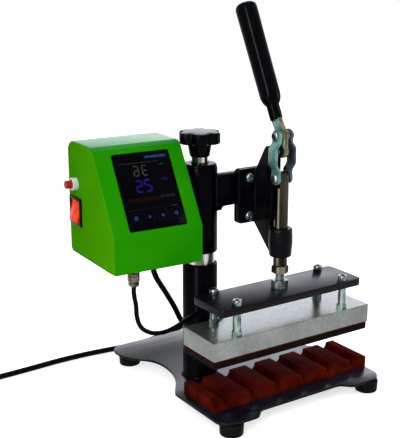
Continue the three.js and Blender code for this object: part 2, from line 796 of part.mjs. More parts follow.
const pinReach = linkOuter + gap;
const boltHead = domedHead(pinHeadRadius, pinHeadHeight, pinHeadRadius * 0.8);
add(lever, "link_pivot_pin", joined(
  lieAlongX(rod(pinRadius, -pinReach - edge, pinReach + edge)),
  moved(boltHead.rotate([0, 90, 0]), pinReach, 0, 0),
  moved(boltHead.rotate([0, -90, 0]), -pinReach, 0, 0),
), zinc, 0, 0, leverCrank);

// Links: a pair of strips bowed outwards between their pins, so that they straddle the lever's pivot
const links = groupAt(press, 0, 0, linkPinZ);

function linkFront() {
  const z0 = linkEndRadius;
  const z1 = -linkLength - linkEndRadius;
  const bends = linkBend.map((share, i) => [i === 1 || i === 2 ? linkBow : 0, -share * linkLength]);
  const way = [[0, z0], ...bends, [0, z1]];
  const outside = way.map(([bow, z]) => [linkOuter + bow, z]);
  const inside = way.map(([bow, z]) => [linkInner + bow, z]).reverse();
  return outline([...outside, ...inside]);
}

function linkSide() {
  const r = linkEndRadius;
  const tuck = Math.acos(linkHalfWidth / r);
  const shape = new THREE.Shape();
  shape.absarc(0, 0, r, -tuck, Math.PI + tuck, false);
  shape.absarc(0, -linkLength, r, Math.PI - tuck, 2 * Math.PI + tuck, false);
  return shape;
}

const linkBody = cut(
  solid(slabY(linkFront(), -linkEndRadius - over, linkEndRadius + over))
    .intersect(solid(slabX(linkSide(), 0, linkOuter + linkBow + over, 0, 8))),
  lieAlongX(rod(pinRadius + gap, 0, linkOuter + over)),
  moved(lieAlongX(rod(pinRadius + gap, 0, linkOuter + over)), 0, 0, -linkLength),
);
const stud = joined(
  lieAlongX(rod(pinRadius, linkInner - gap / 2, linkOuter + gap + edge)),
  moved(boltHead.rotate([0, 90, 0]), linkOuter + gap, 0, 0),
);
for (const [side, flip] of [["left", [1, 0, 0]], ["right", null]]) {
  const facing = (body) => (flip ? body.mirror(flip) : body);
  add(links, `link_${side}`, facing(linkBody), zinc);
  add(links, `link_stud_${side}`, facing(stud), zinc, 0, 0, -linkLength);
}

// Ram: plunger, spindle, mount plate, heater and platen, which travel together
const ram = groupAt(press);
const tongueDrop = hubRadius + leverCrank / 6;

function plungerTip() {
  const shape = new THREE.Shape();
  shape.moveTo(-plungerRadius, -tongueDrop - over);
  shape.lineTo(plungerRadius, -tongueDrop - over);
  shape.lineTo(plungerRadius, 0);
  shape.absarc(0, 0, plungerRadius, 0, Math.PI, false);
  return shape;
}

const tongueFlat = cheekOuter;
add(ram, "plunger", cut(
  joined(
    turned([
      [0, plungerFoot], [plungerRadius - edge, plungerFoot], [plungerRadius, plungerFoot + edge],
      [plungerRadius, plungerPinZ - tongueDrop], [0, plungerPinZ - tongueDrop],
    ]),
    rod(plungerRadius, plungerPinZ - tongueDrop - over, plungerPinZ + plungerRadius, roundSides)
      .intersect(moved(solid(slabX(plungerTip(), -tongueFlat, tongueFlat, 0, 8)), 0, 0, plungerPinZ)),
  ),
  rod(spindleRadius + gap, plungerFoot - over, plungerFoot + spindleBite + spindleRadius),
), yellowZinc);

function hexNut(acrossFlats, height, bore) {
  const corner = acrossFlats / Math.sqrt(3);
  const chamfer = (corner - acrossFlats / 2) / 2;
  const turnedBlank = turned([
    [0, 0], [acrossFlats / 2, 0], [corner, chamfer], [corner, height - chamfer], [acrossFlats / 2, height],
    [0, height],
  ]);
  return cut(solid(slab(hexagon(acrossFlats), 0, height)).intersect(turnedBlank),
    rod(bore, -over, height + over));
}

const nut = hexNut(spindleHex, spindleNut, spindleRadius + gap);
add(ram, "lock_nut", nut.rotate([0, 0, 30]), zinc, 0, 0, plungerFoot - spindleNut);
add(ram, "spindle_nut", nut.rotate([0, 0, 22]), zinc, 0, 0, plateTop);
add(ram, "spindle", joined(
  solid(slab(hexagon(spindleHex), plateBottom - spindleHead, plateBottom, edge)),
  rod(spindleRadius, plateBottom - edge, plungerFoot + spindleBite),
), zinc);

const plateLength = heaterLength - 2 * plateInset;
const screwSpacingX = heaterLength - 2 * screwInset;
const screwPlaces = [];
for (const x of [-1, 1]) {
  for (const y of [-1, 1]) screwPlaces.push([(x * screwSpacingX) / 2, (y * screwSpacingY) / 2]);
}
const screwHoles = (z0, z1) => screwPlaces.map(([x, y]) => moved(rod(screwRadius + gap, z0, z1), x, y, 0));
add(ram, "mount_plate", cut(
  solid(slab(roundedRect(plateLength, plateDepth, plateCorner), plateBottom, plateTop, edge)),
  rod(spindleRadius + gap, plateBottom - over, plateTop + over),
  ...screwHoles(plateBottom - over, plateTop + over),
), blackEnamel);

const capScrew = cut(
  joined(
    turned([
      [0, 0], [screwHeadRadius, 0], [screwHeadRadius, screwHeadHeight - edge],
      [screwHeadRadius - edge, screwHeadHeight], [0, screwHeadHeight],
    ], smallSides),
    rod(screwRadius, heaterTop - screwBite - plateTop, edge),
  ),
  solid(slab(hexagon(screwSocket), screwHeadHeight / 2, screwHeadHeight + over)),
);
const standoff = cut(
  joined(
    solid(slab(hexagon(standoffHex), 0, standoffFoot, edge / 2)),
    rod(standoffRadius, standoffFoot - edge, plateLift),
  ),
  rod(screwRadius + gap, -over, plateLift + over),
);
screwPlaces.forEach(([x, y], i) => {
  add(ram, `cap_screw_${i + 1}`, capScrew, zinc, x, y, plateTop);
  add(ram, `standoff_${i + 1}`, standoff, zinc, x, y, heaterTop);
});

add(ram, "heater_block", cut(
  solid(slab(roundedRect(heaterLength, heaterDepth, 2 * edge), heaterBottom, heaterTop, edge)),
  ...screwHoles(heaterTop - screwBite - over, heaterTop + over),
), aluminium);
const sheetSize = [heaterLength - 2 * platenInset, heaterDepth - 2 * platenInset];
const platenTop = platenBottom + platenThick;
add(ram, "heater_gasket", solid(slab(roundedRect(...sheetSize, edge), platenTop, heaterBottom)), redSilicone);
const platenSheet = slab(roundedRect(...sheetSize, 2 * edge), platenBottom, platenTop, edge);
add(ram, "platen", solid(platenSheet), darkPlaten);

// Terminal cover on the heater's back, with a nose that the cable enters from the left
const terminalZ = heaterBottom + heaterHeight / 2;
const terminalAxisY = heaterDepth / 2 + terminalDepth / 2;
add(ram, "terminal_cover", cut(
  joined(
    moved(solid(slabX(
      roundedRect(terminalDepth, terminalHeight, 3 * edge), terminalX, terminalX + terminalLength, edge,
    )), 0, terminalAxisY, terminalZ),
    moved(lieAlongX(turned([
      [0, -terminalNose], [heaterCableRadius + 2 * edge, -terminalNose], [terminalDepth / 2 - edge, 0],
      [terminalDepth / 2 - edge, edge], [0, edge],
    ], smallSides)), terminalX, terminalAxisY, terminalZ),
  ),
  block(terminalX, terminalX + terminalLength, terminalAxisY - terminalDepth, heaterDepth / 2,
    heaterBottom, heaterTop),
), blackPlastic);

// Control box: a folded shell, open underneath, with a screwed bottom cover
const turnAngle = THREE.MathUtils.degToRad(boxTurn);
const box = groupAt(press,
  boxCornerX - boxWidth * Math.cos(turnAngle), boxCornerY - boxWidth * Math.sin(turnAngle), boxZ);
box.rotation.z = turnAngle;

// Side outline (v, z) drawn in by an inset
function boxSide(inset, floor) {
  const slope = Math.atan2(boxHeight - boxFrontHeight, boxSlopeRun);
  const rear = boxRearRadius - inset;
  const brow = boxBrowRadius - inset;
  const back = boxDepth - inset;
  const top = boxHeight - inset;
  const lean0 = inset * Math.tan(slope / 2);
  const browZ = top - brow;
  const browReach = boxSlopeRun + inset * Math.tan(slope / 2) + brow * Math.tan(slope / 2);
  const shape = new THREE.Shape();
  shape.moveTo(inset, floor);
  shape.lineTo(inset, boxFrontHeight + lean0 / 2);
  shape.lineTo(browReach - brow * Math.sin(slope), browZ + brow * Math.cos(slope));
  shape.absarc(browReach, browZ, brow, Math.PI / 2 + slope, Math.PI / 2, true);
  shape.lineTo(back - rear, top);
  shape.absarc(back - rear, top - rear, rear, Math.PI / 2, 0, true);
  shape.lineTo(back, floor);
  return shape;
}

const slopeAngle = Math.atan2(boxHeight - boxFrontHeight, boxSlopeRun);
// Puts a body made in the screen's frame (x across, y up the slope, z out of the face) onto the sloped face
function onSlope(body) {
  return moved(body.rotate([THREE.MathUtils.radToDeg(slopeAngle), 0, 0]), 0, 0, boxFrontHeight);
}

const switchV = boxDepth - switchInset;
const breakerV = boxDepth - breakerInset;
const reliefV = boxDepth - reliefInset;
const reliefU = boxWidth - reliefInsetU;
const screenX = screenLeft + screenWidth / 2;
const screenY = screenFoot + screenHeight / 2;
const screenHole = roundedRect(screenWidth + 2 * gap, screenHeight + 2 * gap, screenCorner);
const screenCut = moved(solid(slab(screenHole, -screenThick - boxWall, screenThick)), screenX, screenY, 0);
const switchHalf = switchWidth / 2 - switchBezel;
const switchRise = switchHeight / 2 - switchBezel;
const switchCut = block(-over, boxWall + over, switchV - switchHalf, switchV + switchHalf,
  switchZ - switchRise, switchZ + switchRise);
const breakerBore = buttonRadius + gap;
const breakerTube = breakerBore + barrelWall;
add(box, "box_shell", cut(
  cut(
    solid(slabX(boxSide(0, 0), 0, boxWidth, boxEdge, 8)),
    solid(slabX(boxSide(boxWall, -over), boxWall, boxWidth - boxWall, 0, 8)),
  ),
  onSlope(screenCut),
  switchCut,
  moved(lieAlongX(rod(breakerTube + gap, -over, boxWall + over)), 0, breakerV, breakerZ),
), greenEnamel);

const coverInset = boxWall + gap;
const coverSpan = 2 * (coverInset + boxEdge);
const coverOutline = roundedRect(boxWidth - coverSpan, boxDepth - coverSpan, boxEdge);
const screwLift = coverScrewHeight - edge;
const coverScrews = [];
for (const u of [boxWidth / 12, boxWidth * (11 / 12)]) {
  for (const v of [boxDepth * 0.4, boxDepth * 0.58]) {
    coverScrews.push(moved(rod(coverScrewRadius, -screwLift, boxWall), u, v, 0));
  }
}
add(box, "bottom_cover", cut(
  joined(
    moved(solid(slab(coverOutline, gap, gap + boxWall)), boxWidth / 2, boxDepth / 2, 0),
    ...coverScrews.map((body) => body.translate([0, 0, gap])),
  ),
  moved(rod(socketRadius - edge + gap, -over, 3 * boxWall), socketU, socketV + coverInset, 0),
  moved(rod(reliefTip + gap, -over, 3 * boxWall), reliefU, reliefV, 0),
), greenEnamel);

const screenPane = slab(
  roundedRect(screenWidth, screenHeight, screenCorner), screenProud - screenThick, screenProud, edge / 2);
add(box, "display_panel", onSlope(moved(solid(screenPane), screenX, screenY, 0)), glass);

// Rocker switch: bezel with its body behind the wall, and a rocker between two cheeks
const bodyStep = 2 * (switchBezel + gap);
const rockerWidth = switchWidth - 2 * switchRim - 2 * gap;
const rockerLength = switchHeight - 2 * switchRim - 2 * gap;
add(box, "switch_bezel", cut(
  joined(
    moved(solid(slabX(roundedRect(switchWidth, switchHeight, switchBezel), -switchBezel, 0, edge)),
      0, switchV, switchZ),
    moved(solid(slabX(roundedRect(switchWidth - bodyStep, switchHeight - bodyStep, edge), -edge, switchBody)),
      0, switchV, switchZ),
  ),
  block(-switchBezel - over, switchBody - boxWall,
    switchV - rockerWidth / 2 - gap, switchV + rockerWidth / 2 + gap,
    switchZ - rockerLength / 2 - gap, switchZ + rockerLength / 2 + gap),
), blackPlastic);

function rockerSide() {
  const half = rockerLength / 2 - gap;
  const out = -switchBezel - rockerProud;
  const tilt = Math.tan(THREE.MathUtils.degToRad(rockerTilt));
  return outline([
    [-half, out + half * tilt], [0, out + edge], [half, out + half * tilt],
    [half * 0.9, half * tilt + switchBezel], [0, switchBody / 2], [-half * 0.9, half * tilt + switchBezel],
  ].map(([z, u]) => [u, z]));
}

const rocker = add(box, "power_rocker",
  solid(slabY(rockerSide(), -rockerWidth / 2, rockerWidth / 2, edge)), redPlastic, 0, switchV, switchZ);
rocker.rotation.y = THREE.MathUtils.degToRad(rockerTilt);

// Reset breaker: a white collar through the wall and a red push button
add(box, "breaker_collar", lieAlongX(cut(
  joined(
    turned([
      [0, -breakerProud], [breakerRadius - edge, -breakerProud], [breakerRadius, -breakerProud + edge],
      [breakerRadius, 0], [0, 0],
    ]),
    rod(breakerTube, -edge, breakerBarrel, roundSides),
  ),
  rod(breakerBore, -breakerProud - over, breakerBarrel - boxWall, roundSides),
)), whitePlastic, 0, breakerV, breakerZ);

const buttonFoot = breakerBarrel - boxWall - buttonTravel - gap;
add(box, "reset_button", lieAlongX(turned([
  [0, -breakerProud - buttonProud], [buttonRadius - 2 * edge, -breakerProud - buttonProud],
  [buttonRadius, -breakerProud - buttonProud + 2 * edge], [buttonRadius, buttonFoot], [0, buttonFoot],
])), redPlastic, 0, breakerV, breakerZ);

// Round connector under the box and the mains lead's strain relief
add(box, "connector_socket", turned([
  [0, -socketProud], [socketRadius - edge, -socketProud], [socketRadius - edge, -edge],
  [socketRadius + edge, -edge], [socketRadius + edge, 0], [socketRadius - edge, 0],
  [socketRadius - edge, 2 * boxWall + gap], [0, 2 * boxWall + gap],
]), zinc, socketU, socketV + coverInset);
const plugTopZ = -socketProud - gap;
add(box, "connector_plug", turned([
  [0, plugTopZ - plugBody], [heaterCableRadius + edge, plugTopZ - plugBody],
  [plugRadius - edge, plugTopZ - plugBody * 0.7], [plugRadius - edge, plugTopZ - plugBody / 2],
  [plugRadius, plugTopZ - plugBody / 2], [plugRadius, plugTopZ - edge], [plugRadius - edge, plugTopZ],
  [0, plugTopZ],
]), zinc, socketU, socketV + coverInset);
add(box, "mains_strain_relief", turned([
  [0, -reliefLength], [reliefTip, -reliefLength], [reliefRadius - edge, -2 * boxWall],
  [reliefRadius + edge, -2 * boxWall], [reliefRadius + edge, 0], [reliefTip, 0],
  [reliefTip, 2 * boxWall + gap], [0, 2 * boxWall + gap],
], smallSides), blackPlastic, reliefU, reliefV);

// Bracket between the box's right side and the sleeve, cut to the sleeve's curve
box.updateMatrixWorld(true);
const columnInBox = box.worldToLocal(new THREE.Vector3(columnX, columnY, 0));
const bracketFoot = boxWidth + gap;
add(box, "box_bracket", cut(
  joined(
    moved(solid(slabX(
      roundedRect(2 * bracketWidth, bracketHeight, 2 * edge), bracketFoot, bracketFoot + bracketPlate, edge,
    )), 0, columnInBox.y, bracketRise + bracketHeight / 2),
    block(bracketFoot + bracketPlate - edge, columnInBox.x, columnInBox.y - bracketWidth / 2,
      columnInBox.y + bracketWidth / 2, bracketRise, bracketRise + bracketHeight),
  ),
  moved(rod(columnRadius + gap, 0, boxHeight, roundSides), columnInBox.x, columnInBox.y, 0),
  block(columnInBox.x, columnInBox.x + columnRadius,
    columnInBox.y - bracketWidth, columnInBox.y + bracketWidth,
    bracketRise - over, bracketRise + bracketHeight + over),
), blackEnamel);

// Cords: tubes along smooth curves, straight at their ends
function tube(curve, radius, sides, steps) {
  return solid(new THREE.ExtrudeGeometry(polygon(radius, sides, Math.PI / sides), {
    steps, bevelEnabled: false, extrudePath: curve,
  }));
}

function route(points) {
  return new THREE.CatmullRomCurve3(points.map((p) => new THREE.Vector3(...p)), false, "centripetal");
}

const boxPoint = (u, v, z) => box.localToWorld(new THREE.Vector3(u, v, z)).toArray();

const cableStart = boxPoint(socketU, socketV + coverInset, plugTopZ - plugBody - gap);
const cableEnd = [terminalX - terminalNose - gap, terminalAxisY, terminalZ];
const cableRoute = route([
  cableStart,
  boxPoint(socketU, socketV + coverInset, plugTopZ - plugBody - 3 * heaterCableRadius),
  ...cableWay,
  [cableEnd[0] - 2 * heaterCableRadius, cableEnd[1], cableEnd[2] + heaterCableRadius / 6],
  cableEnd,
]);
add(press, "heater_cable", tube(cableRoute, heaterCableRadius, leadSides, cableSteps), rubber);

const leadStart = boxPoint(reliefU, reliefV, -reliefLength - gap);
const leadFloor = leadRadius + gap / 2;
const coilReach = coilRadius + coilPitch * coilTurns;
const coilStart = [coilX + 3 * leadRadius, coilY + coilReach, leadFloor];
const leadRoute = route([
  leadStart,
  boxPoint(reliefU, reliefV, -reliefLength - 1.8 * leadRadius),
  ...leadWay,
  [coilStart[0] + 5 * leadRadius, coilStart[1], leadFloor],
  [coilStart[0] + gap, coilStart[1], leadFloor],
]);
add(press, "mains_lead", tube(leadRoute, leadRadius, leadSides, leadSteps), rubber);

// Coil: two flat spirals, in and out, the upper on the lower; the tail runs straight from it to the plug
function coilPoints() {
  const points = [];
  const halfTurn = Math.PI;
  const lower = 2 * Math.PI * coilTurns;
  const upper = 2 * Math.PI * upperTurns;
  const step = (2 * Math.PI) / coilSteps;
  for (let angle = 0; angle <= lower + halfTurn + upper + step / 2; angle += step) {
    let radius = coilReach - (coilPitch * angle) / (2 * Math.PI);
    let lift = 0;
    if (angle > lower && angle <= lower + halfTurn) {
      const climb = (angle - lower) / halfTurn;
      radius = coilRadius - (coilPitch / 4) * Math.sin(Math.PI * climb);
      lift = coilPitch * (1 - Math.cos(Math.PI * climb)) / 2;
    } else if (angle > lower + halfTurn) {
      radius = coilRadius + (coilPitch * (angle - lower - halfTurn)) / (2 * Math.PI);
      lift = coilPitch;
    }
    const way = angle + halfTurn / 2;
    points.push([coilX + radius * Math.cos(way), coilY + radius * Math.sin(way), leadFloor + lift]);
  }
  return points;
}

const turns = coilPoints();
const tailFrom = turns[turns.length - 1];
const plugAxisZ = plugBodyRadius - plugFlat + gap / 2;
const tail = [
  [tailFrom[0], tailFrom[1] - 4 * leadRadius, plugAxisZ],
  [tailFrom[0], tailFrom[1] - 9 * leadRadius, plugAxisZ],
  [tailFrom[0], tailFrom[1] - 11 * leadRadius, plugAxisZ],
];
const coilCurve = route([coilStart, ...turns, ...tail]);
const coilTubeSteps = Math.round((coilCurve.getLength() / (2 * Math.PI * coilRadius)) * coilSteps);
add(press, "mains_coil", tube(coilCurve, leadRadius, coilSides, coilTubeSteps), rubber);

// The least gap between the coil's turns, on points along its middle
function leastGap(curve, radius) {
  const points = curve.getSpacedPoints(700);
  const spacing = curve.getLength() / 700;
  const apart = Math.ceil((Math.PI * coilRadius) / spacing);
  let least = Infinity;
  for (let i = 0; i < points.length; i += 1) {
    for (let j = i + apart; j < points.length; j += 1) {
      least = Math.min(least, points[i].distanceTo(points[j]));
    }
  }
  return least - 2 * radius;
}
console.log(`mains coil: least gap between turns ${leastGap(coilCurve, leadRadius).toFixed(2)} mm`);
console.log(`mains lead ${(leadRoute.getLength() + coilCurve.getLength()).toFixed(0)} mm, `
  + `heater cable ${cableRoute.getLength().toFixed(0)} mm`);

// Mains plug: a moulded body with two flat blades and a round earth pin
const blade = block(-bladeThick / 2, bladeThick / 2, -bladeWidth / 2, bladeWidth / 2, -over, bladeLength);
const plugBodyShape = cut(
  joined(
    turned([
      [0, 0], [leadRadius + 2 * edge, 0], [leadRadius + 3 * edge, plugBodyLength / 4],
      [plugBodyRadius - edge, plugBodyLength / 2], [plugBodyRadius - edge, plugBodyLength - edge],
      [plugBodyRadius - 2 * edge, plugBodyLength], [0, plugBodyLength],
    ]),
    moved(blade, -bladeSpacing / 2, earthDrop / 2, plugBodyLength),
    moved(blade, bladeSpacing / 2, earthDrop / 2, plugBodyLength),
    moved(rod(earthRadius, plugBodyLength - over, plugBodyLength + earthLength), 0, -earthDrop, 0),
  ),
  block(-plugBodyRadius - over, plugBodyRadius + over, -2 * plugBodyRadius, -plugBodyRadius + plugFlat,
    -over, plugBodyLength + over),
);
const tailEnd = coilCurve.getPoint(1);
const tailWay = coilCurve.getTangent(1);
tailWay.z = 0;
tailWay.normalize();
const mainsPlug = add(press, "mains_plug", plugBodyShape, rubber,
  tailEnd.x + tailWay.x * gap, tailEnd.y + tailWay.y * gap, plugAxisZ);
mainsPlug.quaternion.setFromRotationMatrix(new THREE.Matrix4().makeBasis(
  new THREE.Vector3(-tailWay.y, tailWay.x, 0), new THREE.Vector3(0, 0, 1), tailWay));

// The frame's origin is under the middle of the object without its cords, on the floor
const cordNames = ["heater_cable", "mains_lead", "mains_coil", "mains_plug"];
const reach = new THREE.Box3();
press.updateMatrixWorld(true);
press.traverse((item) => {
  if (item.isMesh && !cordNames.includes(item.name)) reach.expandByObject(item, true);
});
const middle = reach.getCenter(new THREE.Vector3());
press.position.set(-middle.x, -middle.y, -reach.min.z);

export default press;
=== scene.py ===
import math
import bmesh
import bpy
from mathutils import Matrix, Vector
from mathutils.geometry import interpolate_bezier


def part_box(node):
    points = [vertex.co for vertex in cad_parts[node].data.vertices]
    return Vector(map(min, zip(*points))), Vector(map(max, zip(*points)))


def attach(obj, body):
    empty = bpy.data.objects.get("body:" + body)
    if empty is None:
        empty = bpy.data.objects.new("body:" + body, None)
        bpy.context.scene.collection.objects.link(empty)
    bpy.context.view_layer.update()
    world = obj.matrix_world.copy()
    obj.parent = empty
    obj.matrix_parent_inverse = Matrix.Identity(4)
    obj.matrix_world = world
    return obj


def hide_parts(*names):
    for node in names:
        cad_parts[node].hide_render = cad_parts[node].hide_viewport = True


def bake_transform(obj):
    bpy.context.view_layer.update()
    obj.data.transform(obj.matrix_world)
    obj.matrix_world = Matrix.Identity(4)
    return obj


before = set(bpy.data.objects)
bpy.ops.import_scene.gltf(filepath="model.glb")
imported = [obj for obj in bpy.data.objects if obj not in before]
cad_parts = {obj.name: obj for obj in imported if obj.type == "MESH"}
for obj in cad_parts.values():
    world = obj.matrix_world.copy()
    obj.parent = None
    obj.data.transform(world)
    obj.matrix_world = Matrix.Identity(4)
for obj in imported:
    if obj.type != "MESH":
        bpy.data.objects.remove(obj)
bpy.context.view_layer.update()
print("frame loaded:", len(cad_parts), "nodes")

# Everything below is written in millimetres from the floor under the heater's middle:
# x along the heater, y away from the operator, z up
heaterLow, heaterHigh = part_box("heater_block")
home = Vector(((heaterLow[0] + heaterHigh[0]) / 2, (heaterLow[1] + heaterHigh[1]) / 2, 0))
perMillimetre = 0.001
toFrame = Matrix.Translation(home) @ Matrix.Scale(perMillimetre, 4)


def place(x, y, z):
    return toFrame @ Vector((x, y, z))


def turn(angle, axis):
    return Matrix.Rotation(math.radians(angle), 4, axis)


def shift(x, y, z):
    return Matrix.Translation((x, y, z))


# A turned piece laid along X or Y, and an outline drawn as (x, z) or (y, z) stood upright
alongX = turn(90, "Y")
alongY = turn(-90, "X")
facingFront = turn(90, "X")
facingSide = turn(90, "Z") @ turn(90, "X")


# Camera: fitted to the straight edges of heater, bed and column
cameraValues = {
    "position": (-595.2, -744.2, 457.3),
    "forward": (0.532709, 0.805075, -0.260913),
    "right": (0.833708, -0.552203, -0.001693),
    "up": (0.145439, 0.216623, 0.965361),
    "focalPixels": 928.6,
    "frameWidth": 400,
    "sensor": 36,
    "clip": (0.05, 20),
}
cameraData = bpy.data.cameras.new("camera")
cameraData.sensor_fit = "HORIZONTAL"
cameraData.sensor_width = cameraValues["sensor"]
cameraData.lens = cameraValues["sensor"] * cameraValues["focalPixels"] / cameraValues["frameWidth"]
cameraData.clip_start, cameraData.clip_end = cameraValues["clip"]
camera = bpy.data.objects.new("camera", cameraData)
bpy.context.scene.collection.objects.link(camera)
backward = [-c for c in cameraValues["forward"]]
axes = Matrix((cameraValues["right"], cameraValues["up"], backward)).transposed()
camera.matrix_world = Matrix.Translation(place(*cameraValues["position"])) @ axes.to_4x4()
bpy.context.scene.camera = camera


# Shader nodes as expressions
class Socket:
    def __init__(self, tree, link):
        self.tree = tree
        self.link = link

    def maths(self, operation, *values):
        return node(self.tree, "ShaderNodeMath", {"operation": operation}, *values)[0]

    def __add__(self, other):
        return self.maths("ADD", self, other)

    def __radd__(self, other):
        return self.maths("ADD", other, self)

    def __sub__(self, other):
        return self.maths("SUBTRACT", self, other)

    def __rsub__(self, other):
        return self.maths("SUBTRACT", other, self)

    def __mul__(self, other):
        return self.maths("MULTIPLY", self, other)

    def __rmul__(self, other):
        return self.maths("MULTIPLY", other, self)

    def __truediv__(self, other):
        return self.maths("DIVIDE", self, other)

    def clamp(self, low=0, high=1):
        limited = self.maths("MAXIMUM", self, low)
        return limited.maths("MINIMUM", limited, high)


def node(tree, kind, settings, *values, **named):
    made = tree.nodes.new(kind)
    for key, value in settings.items():
        if key == "stops":
            ramp = made.color_ramp
            ramp.elements[0].position, ramp.elements[0].color = value[0][0], value[0][1]
            ramp.elements[1].position, ramp.elements[1].color = value[-1][0], value[-1][1]
            for position, color in value[1:-1]:
                ramp.elements.new(position).color = color
        else:
            setattr(made, key, value)
    pairs = list(zip(made.inputs, values))
    pairs += [(made.inputs[key.replace("_", " ")], value) for key, value in named.items()]
    for socket, value in pairs:
        if isinstance(value, Socket):
            tree.links.new(value.link, socket)
        elif value is not None:
            socket.default_value = value
    return [Socket(tree, out) for out in made.outputs]


def blended(tree, factor, first, second):
    made = tree.nodes.new("ShaderNodeMix")
    made.data_type = "RGBA"
    for socket, value in zip((made.inputs[0], made.inputs[6], made.inputs[7]), (factor, first, second)):
        if isinstance(value, Socket):
            tree.links.new(value.link, socket)
        else:
            socket.default_value = value
    return Socket(tree, made.outputs[2])


def shade(color):
    return (*color, 1)


def freshMaterial(name, constants):
    material = bpy.data.materials.new(name)
    material.use_nodes = True
    tree = material.node_tree
    shader = tree.nodes["Principled BSDF"]
    for key, value in constants.items():
        shader.inputs[key].default_value = value
    return material, tree, shader


def feed(tree, shader, **signals):
    for key, value in signals.items():
        tree.links.new(value.link, shader.inputs[key.replace("_", " ")])


def objectPoint(tree):
    return node(tree, "ShaderNodeTexCoord", {})[3]


def objectAxes(tree):
    return node(tree, "ShaderNodeSeparateXYZ", {}, objectPoint(tree))


def contrast(signal, start, gain):
    return ((signal - start) * gain).clamp()


def spots(tree, scale, detail=3, stretch=(1, 1, 1)):
    stretched = node(tree, "ShaderNodeMapping", {}, objectPoint(tree), Scale=stretch)[0]
    return node(tree, "ShaderNodeTexNoise", {}, stretched, Scale=scale, Detail=detail)[0]


def relief(tree, height, strength, distance):
    return node(tree, "ShaderNodeBump", {}, strength, distance, Height=height)[0]


